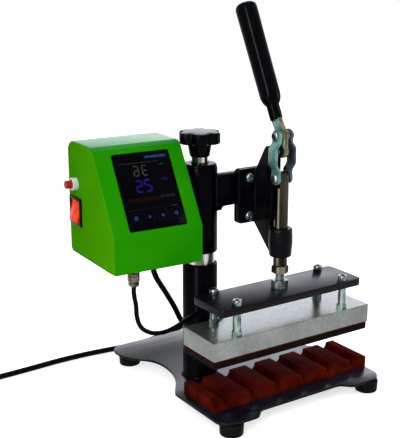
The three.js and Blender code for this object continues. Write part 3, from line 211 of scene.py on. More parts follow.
# One recipe for painted, plated and moulded finishes; the dictionary says how each one differs.
# The reflection bands are (x, y, count, angle, share): painted reflections, as soft upright bands round a turned
# piece's own axis.
# The blacks need a very low "spec", or grazing light turns them grey
finishes = {
    "blackEnamel": {"dark": (0.0010, 0.0010, 0.0016), "light": (0.0022, 0.0022, 0.0036), "patch": 35,
                    "rough": (0.14, 0.24), "grain": 900, "bump": 0.05, "spec": 0.016},
    "slateEnamel": {"dark": (0.0008, 0.0008, 0.0016), "light": (0.0026, 0.0028, 0.0056), "patch": 22,
                    "rough": (0.28, 0.38), "grain": 1100, "bump": 0.03, "spec": 0.08},
    # The base plate's top: the same slate paint, made lighter and bluer as a painted sheen
    "slateSheenTop": {"dark": (0.0036, 0.0040, 0.0085), "light": (0.0085, 0.0095, 0.0180), "patch": 22,
                 "rough": (0.24, 0.34), "grain": 1100, "bump": 0.004, "spec": 0.21},
    "greenEnamel": {"dark": (0.0090, 0.222, 0.0003), "light": (0.0180, 0.282, 0.0006), "patch": 14,
                    "rough": (0.28, 0.38), "grain": 1300, "bump": 0.04, "spec": 0.004},
    # The box's left side: the same green paint, made lighter and yellower as painted light
    "greenLitSide": {"dark": (0.0420, 0.260, 0.0006), "light": (0.0620, 0.322, 0.0010), "patch": 14,
                  "rough": (0.30, 0.40), "grain": 1300, "bump": 0.03, "spec": 0},
    # The box's top: the same green paint with a painted pale bluish sheen
    "greenSheenTop": {"dark": (0.0090, 0.210, 0.0200), "light": (0.0170, 0.260, 0.0320), "patch": 14,
                 "rough": (0.30, 0.33), "grain": 1300, "bump": 0, "spec": 0.06},
    "castBlack": {"dark": (0.0008, 0.0009, 0.0013), "light": (0.0032, 0.0033, 0.0044), "patch": 60,
                  "rough": (0.24, 0.4), "grain": 500, "bump": 0.2, "spec": 0.045},
    "brightZinc": {"dark": (0.026, 0.045, 0.045), "light": (0.26, 0.325, 0.31), "patch": 160, "stretch": (1, 1, 0.35),
                   "rough": (0.2, 0.36), "grain": 1500, "bump": 0.05, "metal": 0.9, "spec": 0.5},
    "tealZinc": {"dark": (0.022, 0.095, 0.095), "light": (0.20, 0.35, 0.32), "patch": 75,
                 "rough": (0.34, 0.5), "grain": 1500, "bump": 0.04, "metal": 0.45, "spec": 0.3},
    # The right link: the same zinc as the left one, made darker and bluer as painted shade
    "shadedLinkZinc": {"dark": (0.012, 0.022, 0.040), "light": (0.065, 0.095, 0.140), "patch": 75,
                 "rough": (0.3, 0.46), "grain": 1500, "bump": 0.04, "metal": 0.5, "spec": 0.3},
    # The plunger's narrow light upright bands are painted reflections
    "yellowZinc": {"dark": (0.008, 0.006, 0.004), "light": (0.36, 0.33, 0.22), "patch": 110, "stretch": (1, 1, 0.07),
                   "reflectionBands": (0, 0, 3, -153.5, 0.2), "rough": (0.16, 0.26), "grain": 1500, "bump": 0.03,
                   "metal": 1, "spec": 0.5},
    "brownZinc": {"dark": (0.055, 0.040, 0.018), "light": (0.23, 0.19, 0.10), "patch": 90,
                  "rough": (0.3, 0.45), "grain": 1500, "bump": 0.04, "metal": 0.6, "spec": 0.3},
    "nickel": {"dark": (0.026, 0.023, 0.016), "light": (0.235, 0.210, 0.155), "patch": 150, "stretch": (1, 1, 0.3),
               "rough": (0.16, 0.28), "grain": 1500, "bump": 0.03, "metal": 1, "spec": 0.5},
    # The chrome's long dark and light upright stripes and bands are painted reflections
    "chrome": {"dark": (0.060, 0.058, 0.052), "light": (0.72, 0.71, 0.66), "patch": 90, "stretch": (1, 1, 0.03),
               "reflectionBands": (-62, 62, 7, -100, 1.1), "rough": (0.06, 0.13), "grain": 1200, "bump": 0.015,
               "metal": 1, "spec": 0.5},
    "darkPlaten": {"dark": (0.0022, 0.0010, 0.0009), "light": (0.0080, 0.0036, 0.0030), "patch": 80,
                   "rough": (0.42, 0.6), "grain": 1000, "bump": 0.15, "spec": 0.02},
    "silicone": {"dark": (0.036, 0.0014, 0.0006), "light": (0.108, 0.0070, 0.0022), "patch": 45,
                 "rough": (0.70, 0.84), "grain": 1400, "bump": 0.12, "spec": 0.009},
    "rubber": {"dark": (0.0010, 0.0010, 0.0013), "light": (0.0034, 0.0034, 0.0038), "patch": 70,
               "rough": (0.5, 0.68), "grain": 1300, "bump": 0.2, "spec": 0.04},
    "cableSheath": {"dark": (0.0008, 0.0008, 0.0011), "light": (0.0022, 0.0022, 0.0026), "patch": 60,
                    "rough": (0.24, 0.36), "grain": 1300, "bump": 0.08, "spec": 0.03},
    "glossPlastic": {"dark": (0.0005, 0.0006, 0.0009), "light": (0.0016, 0.0017, 0.0023), "patch": 50,
                     "rough": (0.09, 0.14), "grain": 900, "bump": 0.02, "spec": 0.03},
    "knobPlastic": {"dark": (0.0005, 0.0006, 0.0009), "light": (0.0016, 0.0017, 0.0023), "patch": 50,
                    "rough": (0.16, 0.22), "grain": 900, "bump": 0.01, "spec": 0.03},
    # The knob's top: the same black plastic, made paler as a painted sheen
    "knobSheenTop": {"dark": (0.010, 0.010, 0.018), "light": (0.020, 0.019, 0.030), "patch": 50,
                "rough": (0.40, 0.44), "grain": 900, "bump": 0, "spec": 0.6},
    "whitePlastic": {"dark": (0.62, 0.65, 0.68), "light": (0.76, 0.79, 0.82), "patch": 80,
                     "rough": (0.25, 0.35), "grain": 1200, "bump": 0.05, "spec": 0.3},
    "redPlastic": {"dark": (0.36, 0.006, 0.004), "light": (0.52, 0.014, 0.010), "patch": 150,
                   "rough": (0.16, 0.24), "grain": 1200, "bump": 0.03, "spec": 0.2},
}


# What all the finishes share: where patches begin, how hard they are, how the painted reflection bands and patches mix
recipe = {"patchFrom": 0.35, "patchGain": 3.2, "patchDetail": 4, "grainDetail": 2, "betweenReflections": 0.12,
          "inReflections": (0.4, 0.38), "grainRough": 0.06, "grainDepth": 0.0004}


# Painted reflection: upright bands, lighter at the given angles round the axis
def reflectionBands(tree, x, y, count, angle, share):
    spot = place(x, y, 0)
    acrossX, acrossY, _ = objectAxes(tree)
    way = acrossY.maths("ARCTAN2", acrossY - spot.y, acrossX - spot.x) - math.radians(angle)
    wave = way.maths("COSINE", way * count)
    return ((wave - (1 - share)) / share).clamp()


def finished(name):
    values = finishes[name]
    material, tree, shader = freshMaterial(name, {"Metallic": values.get("metal", 0),
                                                  "Specular IOR Level": values["spec"]})
    patches = spots(tree, values["patch"], recipe["patchDetail"], values.get("stretch", (1, 1, 1)))
    mask = contrast(patches, recipe["patchFrom"], recipe["patchGain"])
    if "reflectionBands" in values:
        patchShare, plain = recipe["inReflections"]
        mask = mask * recipe["betweenReflections"] + reflectionBands(tree, *values["reflectionBands"]) * (mask * patchShare + plain)
    low, high = values["rough"]
    grain = spots(tree, values["grain"], recipe["grainDetail"])
    feed(tree, shader,
         Base_Color=blended(tree, mask, shade(values["dark"]), shade(values["light"])),
         Roughness=mask * (high - low) + grain * recipe["grainRough"] + (low - recipe["grainRough"] / 2),
         Normal=relief(tree, grain, values["bump"], recipe["grainDepth"]))
    return material


materials = {name: finished(name) for name in finishes}


# Cast and milled aluminium of the heater: cloudy patches, faint milling lines, small matt scratches, and painted shade
# that darkens it towards the right end, away from the light
heaterLook = {"cloud": ((0.150, 0.164, 0.158), (0.232, 0.252, 0.243)), "shadedEnd": (0.112, 0.112, 0.108),
              "scratch": (0.34, 0.37, 0.36), "scratchShare": 0.2, "shadeFrom": -50, "shadeGain": 8, "shadeShare": 0.55,
              "rough": 0.22, "cloudRough": 0.08, "bump": 0.004, "bumpDepth": 0.0002}


def heaterMetal():
    values = heaterLook
    material, tree, shader = freshMaterial("heaterMetal", {"Metallic": 0.8})
    cloud = contrast(spots(tree, 30, 6), 0.32, 2.4)
    speckle = contrast(spots(tree, 190, 5), 0.42, 3)
    milling = spots(tree, 60, 3, (1, 20, 20))
    base = blended(tree, cloud, *[shade(color) for color in values["cloud"]])
    # Painted shade: darker towards the right end
    shadeStart = place(values["shadeFrom"], 0, 0).x
    endShade = contrast(objectAxes(tree)[0], shadeStart, values["shadeGain"]) * values["shadeShare"]
    base = blended(tree, endShade, base, shade(values["shadedEnd"]))
    feed(tree, shader,
         Base_Color=blended(tree, speckle * values["scratchShare"], base, shade(values["scratch"])),
         Roughness=values["rough"] + cloud * values["cloudRough"],
         Normal=relief(tree, milling, values["bump"], values["bumpDepth"]))
    return material


# Black window of the display, a little paler where it is lit from behind
def windowGlass():
    material, tree, shader = freshMaterial("windowGlass", {"Specular IOR Level": 0.018})
    haze = contrast(spots(tree, 45, 2), 0.4, 2)
    feed(tree, shader,
         Base_Color=blended(tree, haze, shade((0.0006, 0.0006, 0.0018)), shade((0.0018, 0.0020, 0.0045))),
         Roughness=0.04 + spots(tree, 300, 3) * 0.06)
    return material


# Glowing marks behind the window, uneven like a cheap display
glows = {
    "blueGlow": (0.016, 0.007, 0.24),
    "greyGlow": (0.042, 0.050, 0.034),
    "greenGlow": (0.020, 0.048, 0.026),
    "redGlow": (0.012, 0.0006, 0.0008),
    "faintGlow": (0.012, 0.013, 0.020),
    "iconGlow": (0.010, 0.036, 0.18),
    "captionGlow": (0.022, 0.070, 0.22),
}
glowShares = (0.35, 0.05, 0.15)  # of a mark's colour: where it glows least, and the surface under it


def glowing(name):
    material, tree, shader = freshMaterial(name, {"Roughness": 0.3, "Specular IOR Level": 0.03,
                                                  "Emission Strength": 1})
    uneven = contrast(spots(tree, 260, 3), 0.25, 2)
    dim, low, high = [shade([share * c for c in glows[name]]) for share in glowShares]
    feed(tree, shader,
         Base_Color=blended(tree, uneven, low, high),
         Emission_Color=blended(tree, uneven, dim, shade(glows[name])))
    return material


# The lit rocker: brightest in patches, as the lamp behind it shines through unevenly
def litRocker():
    material, tree, shader = freshMaterial("litRocker", {"Specular IOR Level": 0.05, "Emission Strength": 0.5})
    uneven = contrast(spots(tree, 130, 2), 0.3, 2.2)
    feed(tree, shader,
         Base_Color=blended(tree, uneven, shade((0.42, 0.006, 0.001)), shade((0.66, 0.020, 0.002))),
         Emission_Color=blended(tree, uneven, shade((0.50, 0.006, 0.0)), shade((1.0, 0.11, 0.006))),
         Roughness=0.12 + uneven * 0.1)
    return material


materials.update({"heaterMetal": heaterMetal(), "windowGlass": windowGlass(), "litRocker": litRocker()})
materials.update({name: glowing(name) for name in glows})
print("materials made:", len(materials))


# Mesh helpers, in millimetres
def outlineFace(bm, points):
    verts = [bm.verts.new((x, y, 0)) for x, y in points]
    return bm.faces.new(verts)


def roundCorners(bm, verts, radius, segments=8):
    bmesh.ops.bevel(bm, geom=verts, offset=radius, offset_type="OFFSET", segments=segments, profile=0.5,
                    affect="VERTICES", material=-1)


def raised(bm, height):
    made = bmesh.ops.extrude_face_region(bm, geom=bm.faces[:])
    top = [item for item in made["geom"] if isinstance(item, bmesh.types.BMVert)]
    bmesh.ops.translate(bm, vec=(0, 0, height), verts=top)
    bmesh.ops.recalc_face_normals(bm, faces=bm.faces[:])


def softEdges(bm, width, segments=2, angle=35):
    sharp = [e for e in bm.edges if e.is_manifold and e.calc_face_angle(0) > math.radians(angle)]
    bmesh.ops.bevel(bm, geom=sharp, offset=width, offset_type="OFFSET", segments=segments, profile=0.5,
                    affect="EDGES", material=-1, clamp_overlap=True)


def slab(points, height, corner=0, edge=0.4, segments=8):
    bm = bmesh.new()
    outlineFace(bm, points)
    if corner:
        roundCorners(bm, bm.verts[:], corner, segments)
    raised(bm, height)
    if edge:
        softEdges(bm, edge)
    return bm


def rectangle(width, depth):
    return [(-width / 2, -depth / 2), (width / 2, -depth / 2), (width / 2, depth / 2), (-width / 2, depth / 2)]


def hexagon(acrossFlats):
    reach = acrossFlats / math.sqrt(3)
    return [(reach * math.cos(math.radians(60 * i)), reach * math.sin(math.radians(60 * i))) for i in range(6)]


def spun(profile, steps=48):
    bm = bmesh.new()
    verts = [bm.verts.new((max(r, 0), 0, z)) for r, z in profile]
    edges = [bm.edges.new(pair) for pair in zip(verts, verts[1:])]
    bmesh.ops.spin(bm, geom=verts + edges, cent=(0, 0, 0), axis=(0, 0, 1), angle=2 * math.pi, steps=steps,
                   use_merge=True)
    bmesh.ops.remove_doubles(bm, verts=bm.verts[:], dist=0.0005)
    bmesh.ops.recalc_face_normals(bm, faces=bm.faces[:])
    return bm


# Puts shapes into one mesh; a shape that has to move comes with its matrix
def gathered(*parts):
    whole = bmesh.new()
    for part in parts:
        shape, matrix = part if isinstance(part, tuple) else (part, Matrix())
        mesh = bpy.data.meshes.new("part")
        shape.to_mesh(mesh)
        mesh.transform(matrix)
        whole.from_mesh(mesh)
        bpy.data.meshes.remove(mesh)
        shape.free()
    return whole


def linked(name, data):
    made = bpy.data.objects.new(name, data)
    bpy.context.scene.collection.objects.link(made)
    return made


def piece(name, bm, finish, body, nodes=(), matrix=None, smooth=32):
    bmesh.ops.transform(bm, matrix=toFrame @ (matrix or Matrix()), verts=bm.verts[:])
    bmesh.ops.recalc_face_normals(bm, faces=bm.faces[:])
    for face in bm.faces:
        face.smooth = True
    for e in bm.edges:
        e.smooth = e.is_manifold and e.calc_face_angle(0) < math.radians(smooth)
    mesh = bpy.data.meshes.new(name)
    bm.to_mesh(mesh)
    bm.free()
    made = linked(name, mesh)
    mesh.materials.append(materials[finish])
    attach(made, body)
    if nodes:
        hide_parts(*nodes)
    return made


def dress(nodeName, finish):
    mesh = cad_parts[nodeName].data
    mesh.materials.clear()
    mesh.materials.append(materials[finish])


# Gives the faces that look along a direction a finish of their own, unless they have one already
def paintFacing(made, finish, direction, least):
    made.data.materials.append(materials[finish])
    for face in made.data.polygons:
        if face.material_index == 0 and face.normal.dot(Vector(direction)) > least:
            face.material_index = len(made.data.materials) - 1


# The control box's own frame comes first, because both cords start under it: u across, v back, z up
boxPlace = {"corner": (-193.3, 12.8, 168.3), "turn": -2.8, "socket": (25.6, 10.9), "leadHole": (88.5, 88)}
boxFrame = shift(*boxPlace["corner"]) @ turn(boxPlace["turn"], "Z")


def boxPoint(u, v, z):
    return tuple(boxFrame @ Vector((u, v, z)))


# A round tube along a smooth curve through the points, as a mesh that can bend; also gives its centreline
cordValues = {"steps": 8, "roundness": 5}


def cordMesh(name, points, radius, finish):
    curve = bpy.data.curves.new(name, "CURVE")
    curve.dimensions = "3D"
    curve.bevel_depth = radius * perMillimetre
    curve.bevel_resolution = cordValues["roundness"]
    curve.use_fill_caps = True
    curve.resolution_u = cordValues["steps"]
    spline = curve.splines.new("BEZIER")
    spline.bezier_points.add(len(points) - 1)
    for knot, point in zip(spline.bezier_points, points):
        knot.co = place(*point)
        knot.handle_left_type = knot.handle_right_type = "AUTO"
    drawn = linked(name, curve)
    bpy.context.view_layer.update()
    mesh = bpy.data.meshes.new_from_object(drawn.evaluated_get(bpy.context.evaluated_depsgraph_get()))
    knots = spline.bezier_points
    line = [knots[0].co.copy()]
    for near, far in zip(knots[:-1], knots[1:]):
        line += interpolate_bezier(near.co, near.handle_right, far.handle_left, far.co, cordValues["steps"] + 1)[1:]
    length = spline.calc_length()
    bpy.data.objects.remove(drawn)
    made = linked(name, mesh)
    mesh.materials.clear()
    mesh.materials.append(materials[finish])
    for face in mesh.polygons:
        face.use_smooth = True
    return made, line, length


# Mains lead: its route repeats the CAD's points, from the box over the base to a coil in two layers
leadValues = {
    "radius": 3.25, "coilCentre": (-322, 160), "coilRadius": 30.5, "coilPitch": 7.3, "coilTurns": 2,
    "upperTurns": 1.75, "coilSteps": 24, "clearance": 0.15, "plugAxis": 11.35, "tail": (13, 29.25, 35.75),
    "settled": 24, "drop": (-26.3, -31.85),
    "route": [
        (-98.7, 97, 130.9), (-96.3, 97.9, 126), (-88.5, 101.2, 114.8), (-78, 105.6, 100.2), (-64, 112, 79.9),
        (-49.6, 119, 56.9), (-28, 129.5, 34.5), (-6, 140, 23.5), (18, 151, 19.9), (40, 163, 19.5), (56, 176, 19.6),
        (62, 187, 19.2), (64.5, 199, 14.5), (61.5, 211, 8.5), (52, 220.5, 4.8), (38, 224, 3.6), (21, 222, 3.4),
        (4, 216.5, 3.4), (-14, 210.5, 3.4), (-34, 205.5, 3.4), (-56, 202.5, 3.4), (-78, 202, 3.4), (-100, 204.2, 3.4),
        (-122, 206.6, 3.4), (-145, 208, 3.4), (-170, 208, 3.4), (-196, 206.5, 3.4), (-224, 205, 3.4),
        (-252, 204.5, 3.4), (-280, 205.1, 3.4), (-302, 205.1, 3.4),
    ],
}


def coilPoints():
    values = leadValues
    points = []
    inner, pitch = values["coilRadius"], values["coilPitch"]
    lower = 2 * math.pi * values["coilTurns"]
    upper = 2 * math.pi * values["upperTurns"]
    floorLevel = values["radius"] + values["clearance"]
    count = round((lower + math.pi + upper) / (2 * math.pi) * values["coilSteps"])
    for i in range(count + 1):
        angle = 2 * math.pi * i / values["coilSteps"]
        radius, lift = inner + pitch * values["coilTurns"] - pitch * angle / (2 * math.pi), 0
        if lower < angle <= lower + math.pi:  # half a turn that climbs on to the upper layer
            climb = (angle - lower) / math.pi
            radius = inner - pitch / 4 * math.sin(math.pi * climb)
            lift = pitch * (1 - math.cos(math.pi * climb)) / 2
        elif angle > lower + math.pi:
            radius = inner + pitch * (angle - lower - math.pi) / (2 * math.pi)
            lift = pitch
        way = angle + math.pi / 2
        x, y = values["coilCentre"]
        points.append((x + radius * math.cos(way), y + radius * math.sin(way), floorLevel + lift))
    return points


leadPoints = [boxPoint(*boxPlace["leadHole"], z) for z in leadValues["drop"]]
leadPoints += leadValues["route"] + coilPoints()
tailX, tailY, _ = leadPoints[-1]
leadPoints += [(tailX, tailY - step, leadValues["plugAxis"]) for step in leadValues["tail"]]
mainsLead, leadLine, leadLength = cordMesh("mains_cord", leadPoints, leadValues["radius"], "cableSheath")
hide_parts("mains_lead", "mains_coil")
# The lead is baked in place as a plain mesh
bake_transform(mainsLead)
dress("mains_plug", "rubber")
print("mains lead made:", round(leadLength, 3), "m")


# Curves that are filled flat: knots are (point, left handle, right handle)
def flatCurve(knots, height, edge):
    curve = bpy.data.curves.new("flat", "CURVE")
    curve.dimensions = "2D"
    curve.fill_mode = "BOTH"
    curve.resolution_u = 14
    curve.extrude = height / 2 - edge
    curve.bevel_depth = edge
    curve.bevel_resolution = 2
    curve.offset = -edge
    spline = curve.splines.new("BEZIER")
    spline.bezier_points.add(len(knots) - 1)
    spline.use_cyclic_u = True
    for knot, (point, left, right) in zip(spline.bezier_points, knots):
        knot.handle_left_type = knot.handle_right_type = "FREE"
        knot.co, knot.handle_left, knot.handle_right = (*point, 0), (*left, 0), (*right, 0)
    made = bpy.data.objects.new("flat", curve)
    bm = bmesh.new()
    bm.from_mesh(made.to_mesh())
    made.to_mesh_clear()
    bpy.data.objects.remove(made)
    bmesh.ops.remove_doubles(bm, verts=bm.verts[:], dist=0.001)
    bmesh.ops.translate(bm, vec=(0, 0, height / 2), verts=bm.verts[:])
    return bm


def temporary(bm):
    mesh = bpy.data.meshes.new("temporary")
    bm.to_mesh(mesh)
    bm.free()
    return linked("temporary", mesh)


def discard(made):
    mesh = made.data
    bpy.data.objects.remove(made)
    bpy.data.meshes.remove(mesh)


def evaluated(made):
    bpy.context.view_layer.update()
    result = made.evaluated_get(bpy.context.evaluated_depsgraph_get())
    bm = bmesh.new()
    bm.from_mesh(result.to_mesh())
    result.to_mesh_clear()
    discard(made)
    return bm


def cutWith(whole, tool, matrix=None, operation="DIFFERENCE"):
    if matrix:
        bmesh.ops.transform(tool, matrix=matrix, verts=tool.verts[:])
    for bm in (whole, tool):
        bmesh.ops.recalc_face_normals(bm, faces=bm.faces[:])
    kept, cutter = temporary(whole), temporary(tool)
    modifier = kept.modifiers.new("cut", "BOOLEAN")
    modifier.operation = operation
    modifier.solver = "EXACT"
    modifier.object = cutter
    bm = evaluated(kept)
    discard(cutter)
    bmesh.ops.remove_doubles(bm, verts=bm.verts[:], dist=0.0005)
    bmesh.ops.dissolve_degenerate(bm, edges=bm.edges[:], dist=0.0005)
    return bm


def castOver(bm, voxel, passes):
    made = temporary(bm)
    remesh = made.modifiers.new("remesh", "REMESH")
    remesh.mode = "VOXEL"
    remesh.voxel_size = voxel
    smooth = made.modifiers.new("smooth", "SMOOTH")
    smooth.factor = 0.5
    smooth.iterations = passes
    return evaluated(made)


# A hexagon whose corners a cone trims at both ends
def chamferedHex(acrossFlats, height, chamfer=0.7):
    outside, flat = acrossFlats / math.sqrt(3) + 0.3, acrossFlats / 2 - 0.1
    blank = slab(hexagon(acrossFlats), height, edge=0)
    cone = spun([(0, -0.01), (flat, -0.01), (outside, chamfer), (outside, height - chamfer), (flat, height + 0.01),
                 (0, height + 0.01)])
    return cutWith(blank, cone, operation="INTERSECT")


def socketHead(profile, socket, depth, top):
    return cutWith(spun(profile, 40), slab(hexagon(socket), depth + 1, edge=0), shift(0, 0, top - depth))


# Rings in place of a thread, which looks the same at this size
def threaded(radius, low, high, pitch):
    root = radius * 0.86
    profile = [(0, low), (root, low)]
    z = low + pitch / 2
    while z < high - pitch / 2:
        profile += [(root, z), (radius, z + pitch * 0.3), (radius, z + pitch * 0.5), (root, z + pitch * 0.8)]
        z += pitch
    return spun(profile + [(root, high), (0, high)], 32)


# Base plate, feet and bed
baseValues = {"middle": -4, "low": 13, "thick": 3, "edge": 0.6,
              "half": [((49, -47), (16, -47), (59, -47)), ((69, -58), (59, -58), (77, -58)),
                       ((92, -58), (84, -58), (101.39, -58)), ((109, -41), (109, -50.39), (109, -16)),
                       ((109, 33), (109, 10), (103.4, 47)), ((81, 102), (81, 62.8), (81, 135.6)),
                       ((109, 158), (103.4, 130), (109, 161)), ((109, 167), (109, 164), (109, 176.39)),
                       ((92, 184), (101.39, 184), (30, 184))]}


def mirrored(pair):
    return (-pair[0], pair[1])


half = baseValues["half"]
otherHalf = [(mirrored(p), mirrored(r), mirrored(l)) for p, l, r in reversed(half)]
sheet = piece("base_sheet", flatCurve(half + otherHalf, baseValues["thick"], baseValues["edge"]), "slateEnamel",
              "base", ["base_plate"], shift(baseValues["middle"], 0, baseValues["low"]), smooth=50)
# Painted sheen: the base plate's top faces get a lighter, bluer copy of the slate
paintFacing(sheet, "slateSheenTop", (0, 0, 1), 0.9)

footValues = {"x": 92.5, "front": -48, "rear": 162.5,
              "profile": [(0, 4.4), (5.2, 4.4), (5.6, 4), (5.6, 0.3), (5.9, 0), (11.2, 0), (12.0, 0.5), (12.3, 1.4),
                          (12.75, 11.6), (12.5, 12.5), (11.9, 12.95), (0, 12.95)]}
for row in ("front", "rear"):
    for side, way in (("left", -1), ("right", 1)):
        piece(f"rubber_foot_{row}_{side}", spun(footValues["profile"], 56), "rubber", "base", [f"foot_{row}_{side}"],
              shift(baseValues["middle"] + way * footValues["x"], footValues[row], 0))

bedValues = {"length": 210, "depth": 57, "height": 13, "pitch": 35, "count": 6, "radius": 6.6, "rounding": 6.55,
             "floor": 5.4, "edge": 0.45, "low": 16}
bedEnd = bedValues["length"] / 2
bedOutline = [(-bedEnd, 0), (bedEnd, 0), (bedEnd, bedValues["height"])]
for i in reversed(range(bedValues["count"])):
    x = (i + 0.5) * bedValues["pitch"] - bedEnd
    bedOutline += [(x + way * bedValues["radius"], bedValues[level])
                   for way, level in ((1, "height"), (1, "floor"), (-1, "floor"), (-1, "height"))]
bedOutline.append((-bedEnd, bedValues["height"]))
bed = bmesh.new()
outlineFace(bed, bedOutline)
roundCorners(bed, [v for v in bed.verts if abs(v.co.y - bedValues["floor"]) < 0.01], bedValues["rounding"], 10)
raised(bed, bedValues["depth"])
softEdges(bed, bedValues["edge"], 2, 50)
piece("grooved_bed", bed, "silicone", "base", ["silicone_bed"],
      shift(0, bedValues["depth"] / 2, bedValues["low"]) @ facingFront, smooth=40)
print("base made")

# Column: the tube, the post inside it, and the sleeve that slides on the post; profiles are (radius, height)
columnValues = {
    "x": -62, "y": 62, "radius": 19, "sides": 72,
    "tube": [(16.2, 16), (21.4, 16), (20.6, 16.5), (19.3, 17.8), (19, 18.6), (19, 146.8), (18.6, 147.6), (18, 148),
             (16.6, 148), (16.3, 147.6), (16.2, 16)],
    "post": [(12, 46), (12, 16), (16, 16), (16, 229.3), (15.4, 230), (12, 230), (12, 46)],
    "sleeve": [(16.4, 161.5), (18.2, 161.5), (18.7, 161.8), (19, 162.4), (19, 253.6), (18.5, 254.6), (17.6, 255),
               (16.4, 255), (16.4, 161.5)],
    "cap": [(9.4, 241), (15.9, 241), (15.9, 255), (18.3, 255), (18.3, 256), (17.8, 257.2), (16.8, 257.9), (15.6, 258),
            (10.2, 258), (9.4, 257.3), (9.4, 241)],
    "screw": [(0, 16.5), (2.6, 16.5), (3, 17), (3, 19.4), (4.2, 19.4), (4.2, 21.2), (3.6, 21.9), (0, 22)],
    "screwSocket": (3, 1.6, 22), "screwHeight": 201.5,
}
columnSpot = shift(columnValues["x"], columnValues["y"], 0)


def columnPart(profileName):
    return spun(columnValues[profileName], columnValues["sides"])


piece("column_tube", columnPart("tube"), "blackEnamel", "base", ["lower_column"], columnSpot)
piece("chrome_post", columnPart("post"), "chrome", "base", ["inner_post"], columnSpot)
dress("post_plug", "brightZinc")
dress("column_bolt", "brightZinc")

# Arm and end plate, in one piece with the sleeve, and their welds; flangeHoles also takes the clamp's bolts
armValues = {"reach": 76, "height": 34.5, "thick": 14, "edge": 0.9, "at": (-52, 60.5, 210.5), "nut": (10, 5, 0.5),
             "nutFace": 51.4, "endThick": 4, "endFace": 46.5}
flangeValues = {"size": (56, 60), "corner": 4, "edge": 0.5, "middle": 220.3}
flangeHoles = ((-13.5, 197.8), (13.5, 197.8), (-13.5, 239.8), (13.5, 239.8))
filletFoot = [(8.4 + 4.6 * (i / 6) ** 2, -4 * (1 - i / 6) ** 2) for i in range(7)]
reach, high = armValues["reach"], armValues["height"]
arm = slab([(0, -4), *filletFoot, (reach, 0), (reach, high), (0, high)], armValues["thick"], edge=armValues["edge"])


# The end plate of the arm and the casting's flange have one outline
def flange(thick, face):
    shape = slab(rectangle(*flangeValues["size"]), thick, corner=flangeValues["corner"], edge=flangeValues["edge"])
    return shape, shift(0, face, flangeValues["middle"]) @ facingFront


weldment = gathered((columnPart("sleeve"), columnSpot), (arm, shift(*armValues["at"]) @ facingFront),
                    flange(armValues["endThick"], armValues["endFace"]),
                    *[(chamferedHex(*armValues["nut"]), shift(x, armValues["nutFace"], z) @ facingFront)
                      for x, z in flangeHoles])
piece("sleeve_and_arm", weldment, "blackEnamel", "head", ["head_weldment"])
weldValues = {"radius": 1.7, "length": 33, "wave": 0.25, "ripple": 2.1, "middle": 227.8, "front": 46.6, "rear": 60.4}
for name in ("front", "rear"):
    depth = weldValues[name] - columnValues["y"]
    reach = math.sqrt(columnValues["radius"] ** 2 - depth ** 2)
    bead = bmesh.new()
    bmesh.ops.create_cone(bead, cap_ends=True, segments=12, radius1=weldValues["radius"],
                          radius2=weldValues["radius"], depth=weldValues["length"])
    for level in range(1, weldValues["length"]):
        bmesh.ops.bisect_plane(bead, geom=bead.verts[:] + bead.edges[:] + bead.faces[:],
                               plane_co=(0, 0, level - weldValues["length"] / 2), plane_no=(0, 0, 1))
    for v in bead.verts:
        v.co += Vector((weldValues["wave"] * math.sin(v.co.z * weldValues["ripple"]), 0, 0))
    piece("arm_weld_" + name, bead, "castBlack", "head", (),
          shift(columnValues["x"] + reach, weldValues[name], weldValues["middle"]))
piece("sleeve_cap", columnPart("cap"), "blackEnamel", "head", ["top_bush"], columnSpot)
piece("sleeve_screw", socketHead(columnValues["screw"], *columnValues["screwSocket"]), "brightZinc", "head",
      ["set_screw"], shift(columnValues["x"], columnValues["y"], columnValues["screwHeight"]) @ alongY)

# Star knob and adjusting screw: the disc is turned first, then drawn in between its lobes
knobValues = {
    "radius": 23, "lobes": 6, "scallop": 4.4, "low": 279.3, "hubLow": 265.4, "sides": 144,
    "disc": [(0, 0), (20.9, 0), (22.2, 0.5), (22.9, 1.4), (23, 2.2), (23, 10.2), (22.7, 11.3), (21.9, 12.1),
             (20.4, 12.6), (16, 12.9), (11, 13.1), (5, 13.2), (0, 13.2)],
    "hub": [(9.3, 0), (10.3, 0), (10.8, 0.5), (12.2, 9), (12.6, 12), (12.6, 17), (0, 17), (0, 12), (9.3, 12),
            (9.3, 0)],
    "screw": [(0, 234.3), (5, 234.3), (9, 238.3), (9, 275.4), (0, 275.4)],
}
knob = spun(knobValues["disc"], knobValues["sides"])
for v in knob.verts:
    angle = math.atan2(v.co.y, v.co.x)
    hollow = ((1 - math.cos(knobValues["lobes"] * angle)) / 2) ** 2
    shrink = 1 - knobValues["scallop"] / knobValues["radius"] * hollow
    v.co.x, v.co.y = v.co.x * shrink, v.co.y * shrink
moulding = gathered((knob, shift(0, 0, knobValues["low"])),
                    (spun(knobValues["hub"], 64), shift(0, 0, knobValues["hubLow"])))
moulding = piece("knob_moulding", moulding, "knobPlastic", "knob", ["star_knob"], columnSpot, smooth=45)
# Painted sheen: the knob's top faces get a paler copy of the plastic
paintFacing(moulding, "knobSheenTop", (0, 0, 1), 0.9)
piece("lifting_screw", spun(knobValues["screw"], 56), "chrome", "knob", ["adjusting_screw"], columnSpot)
print("column made")

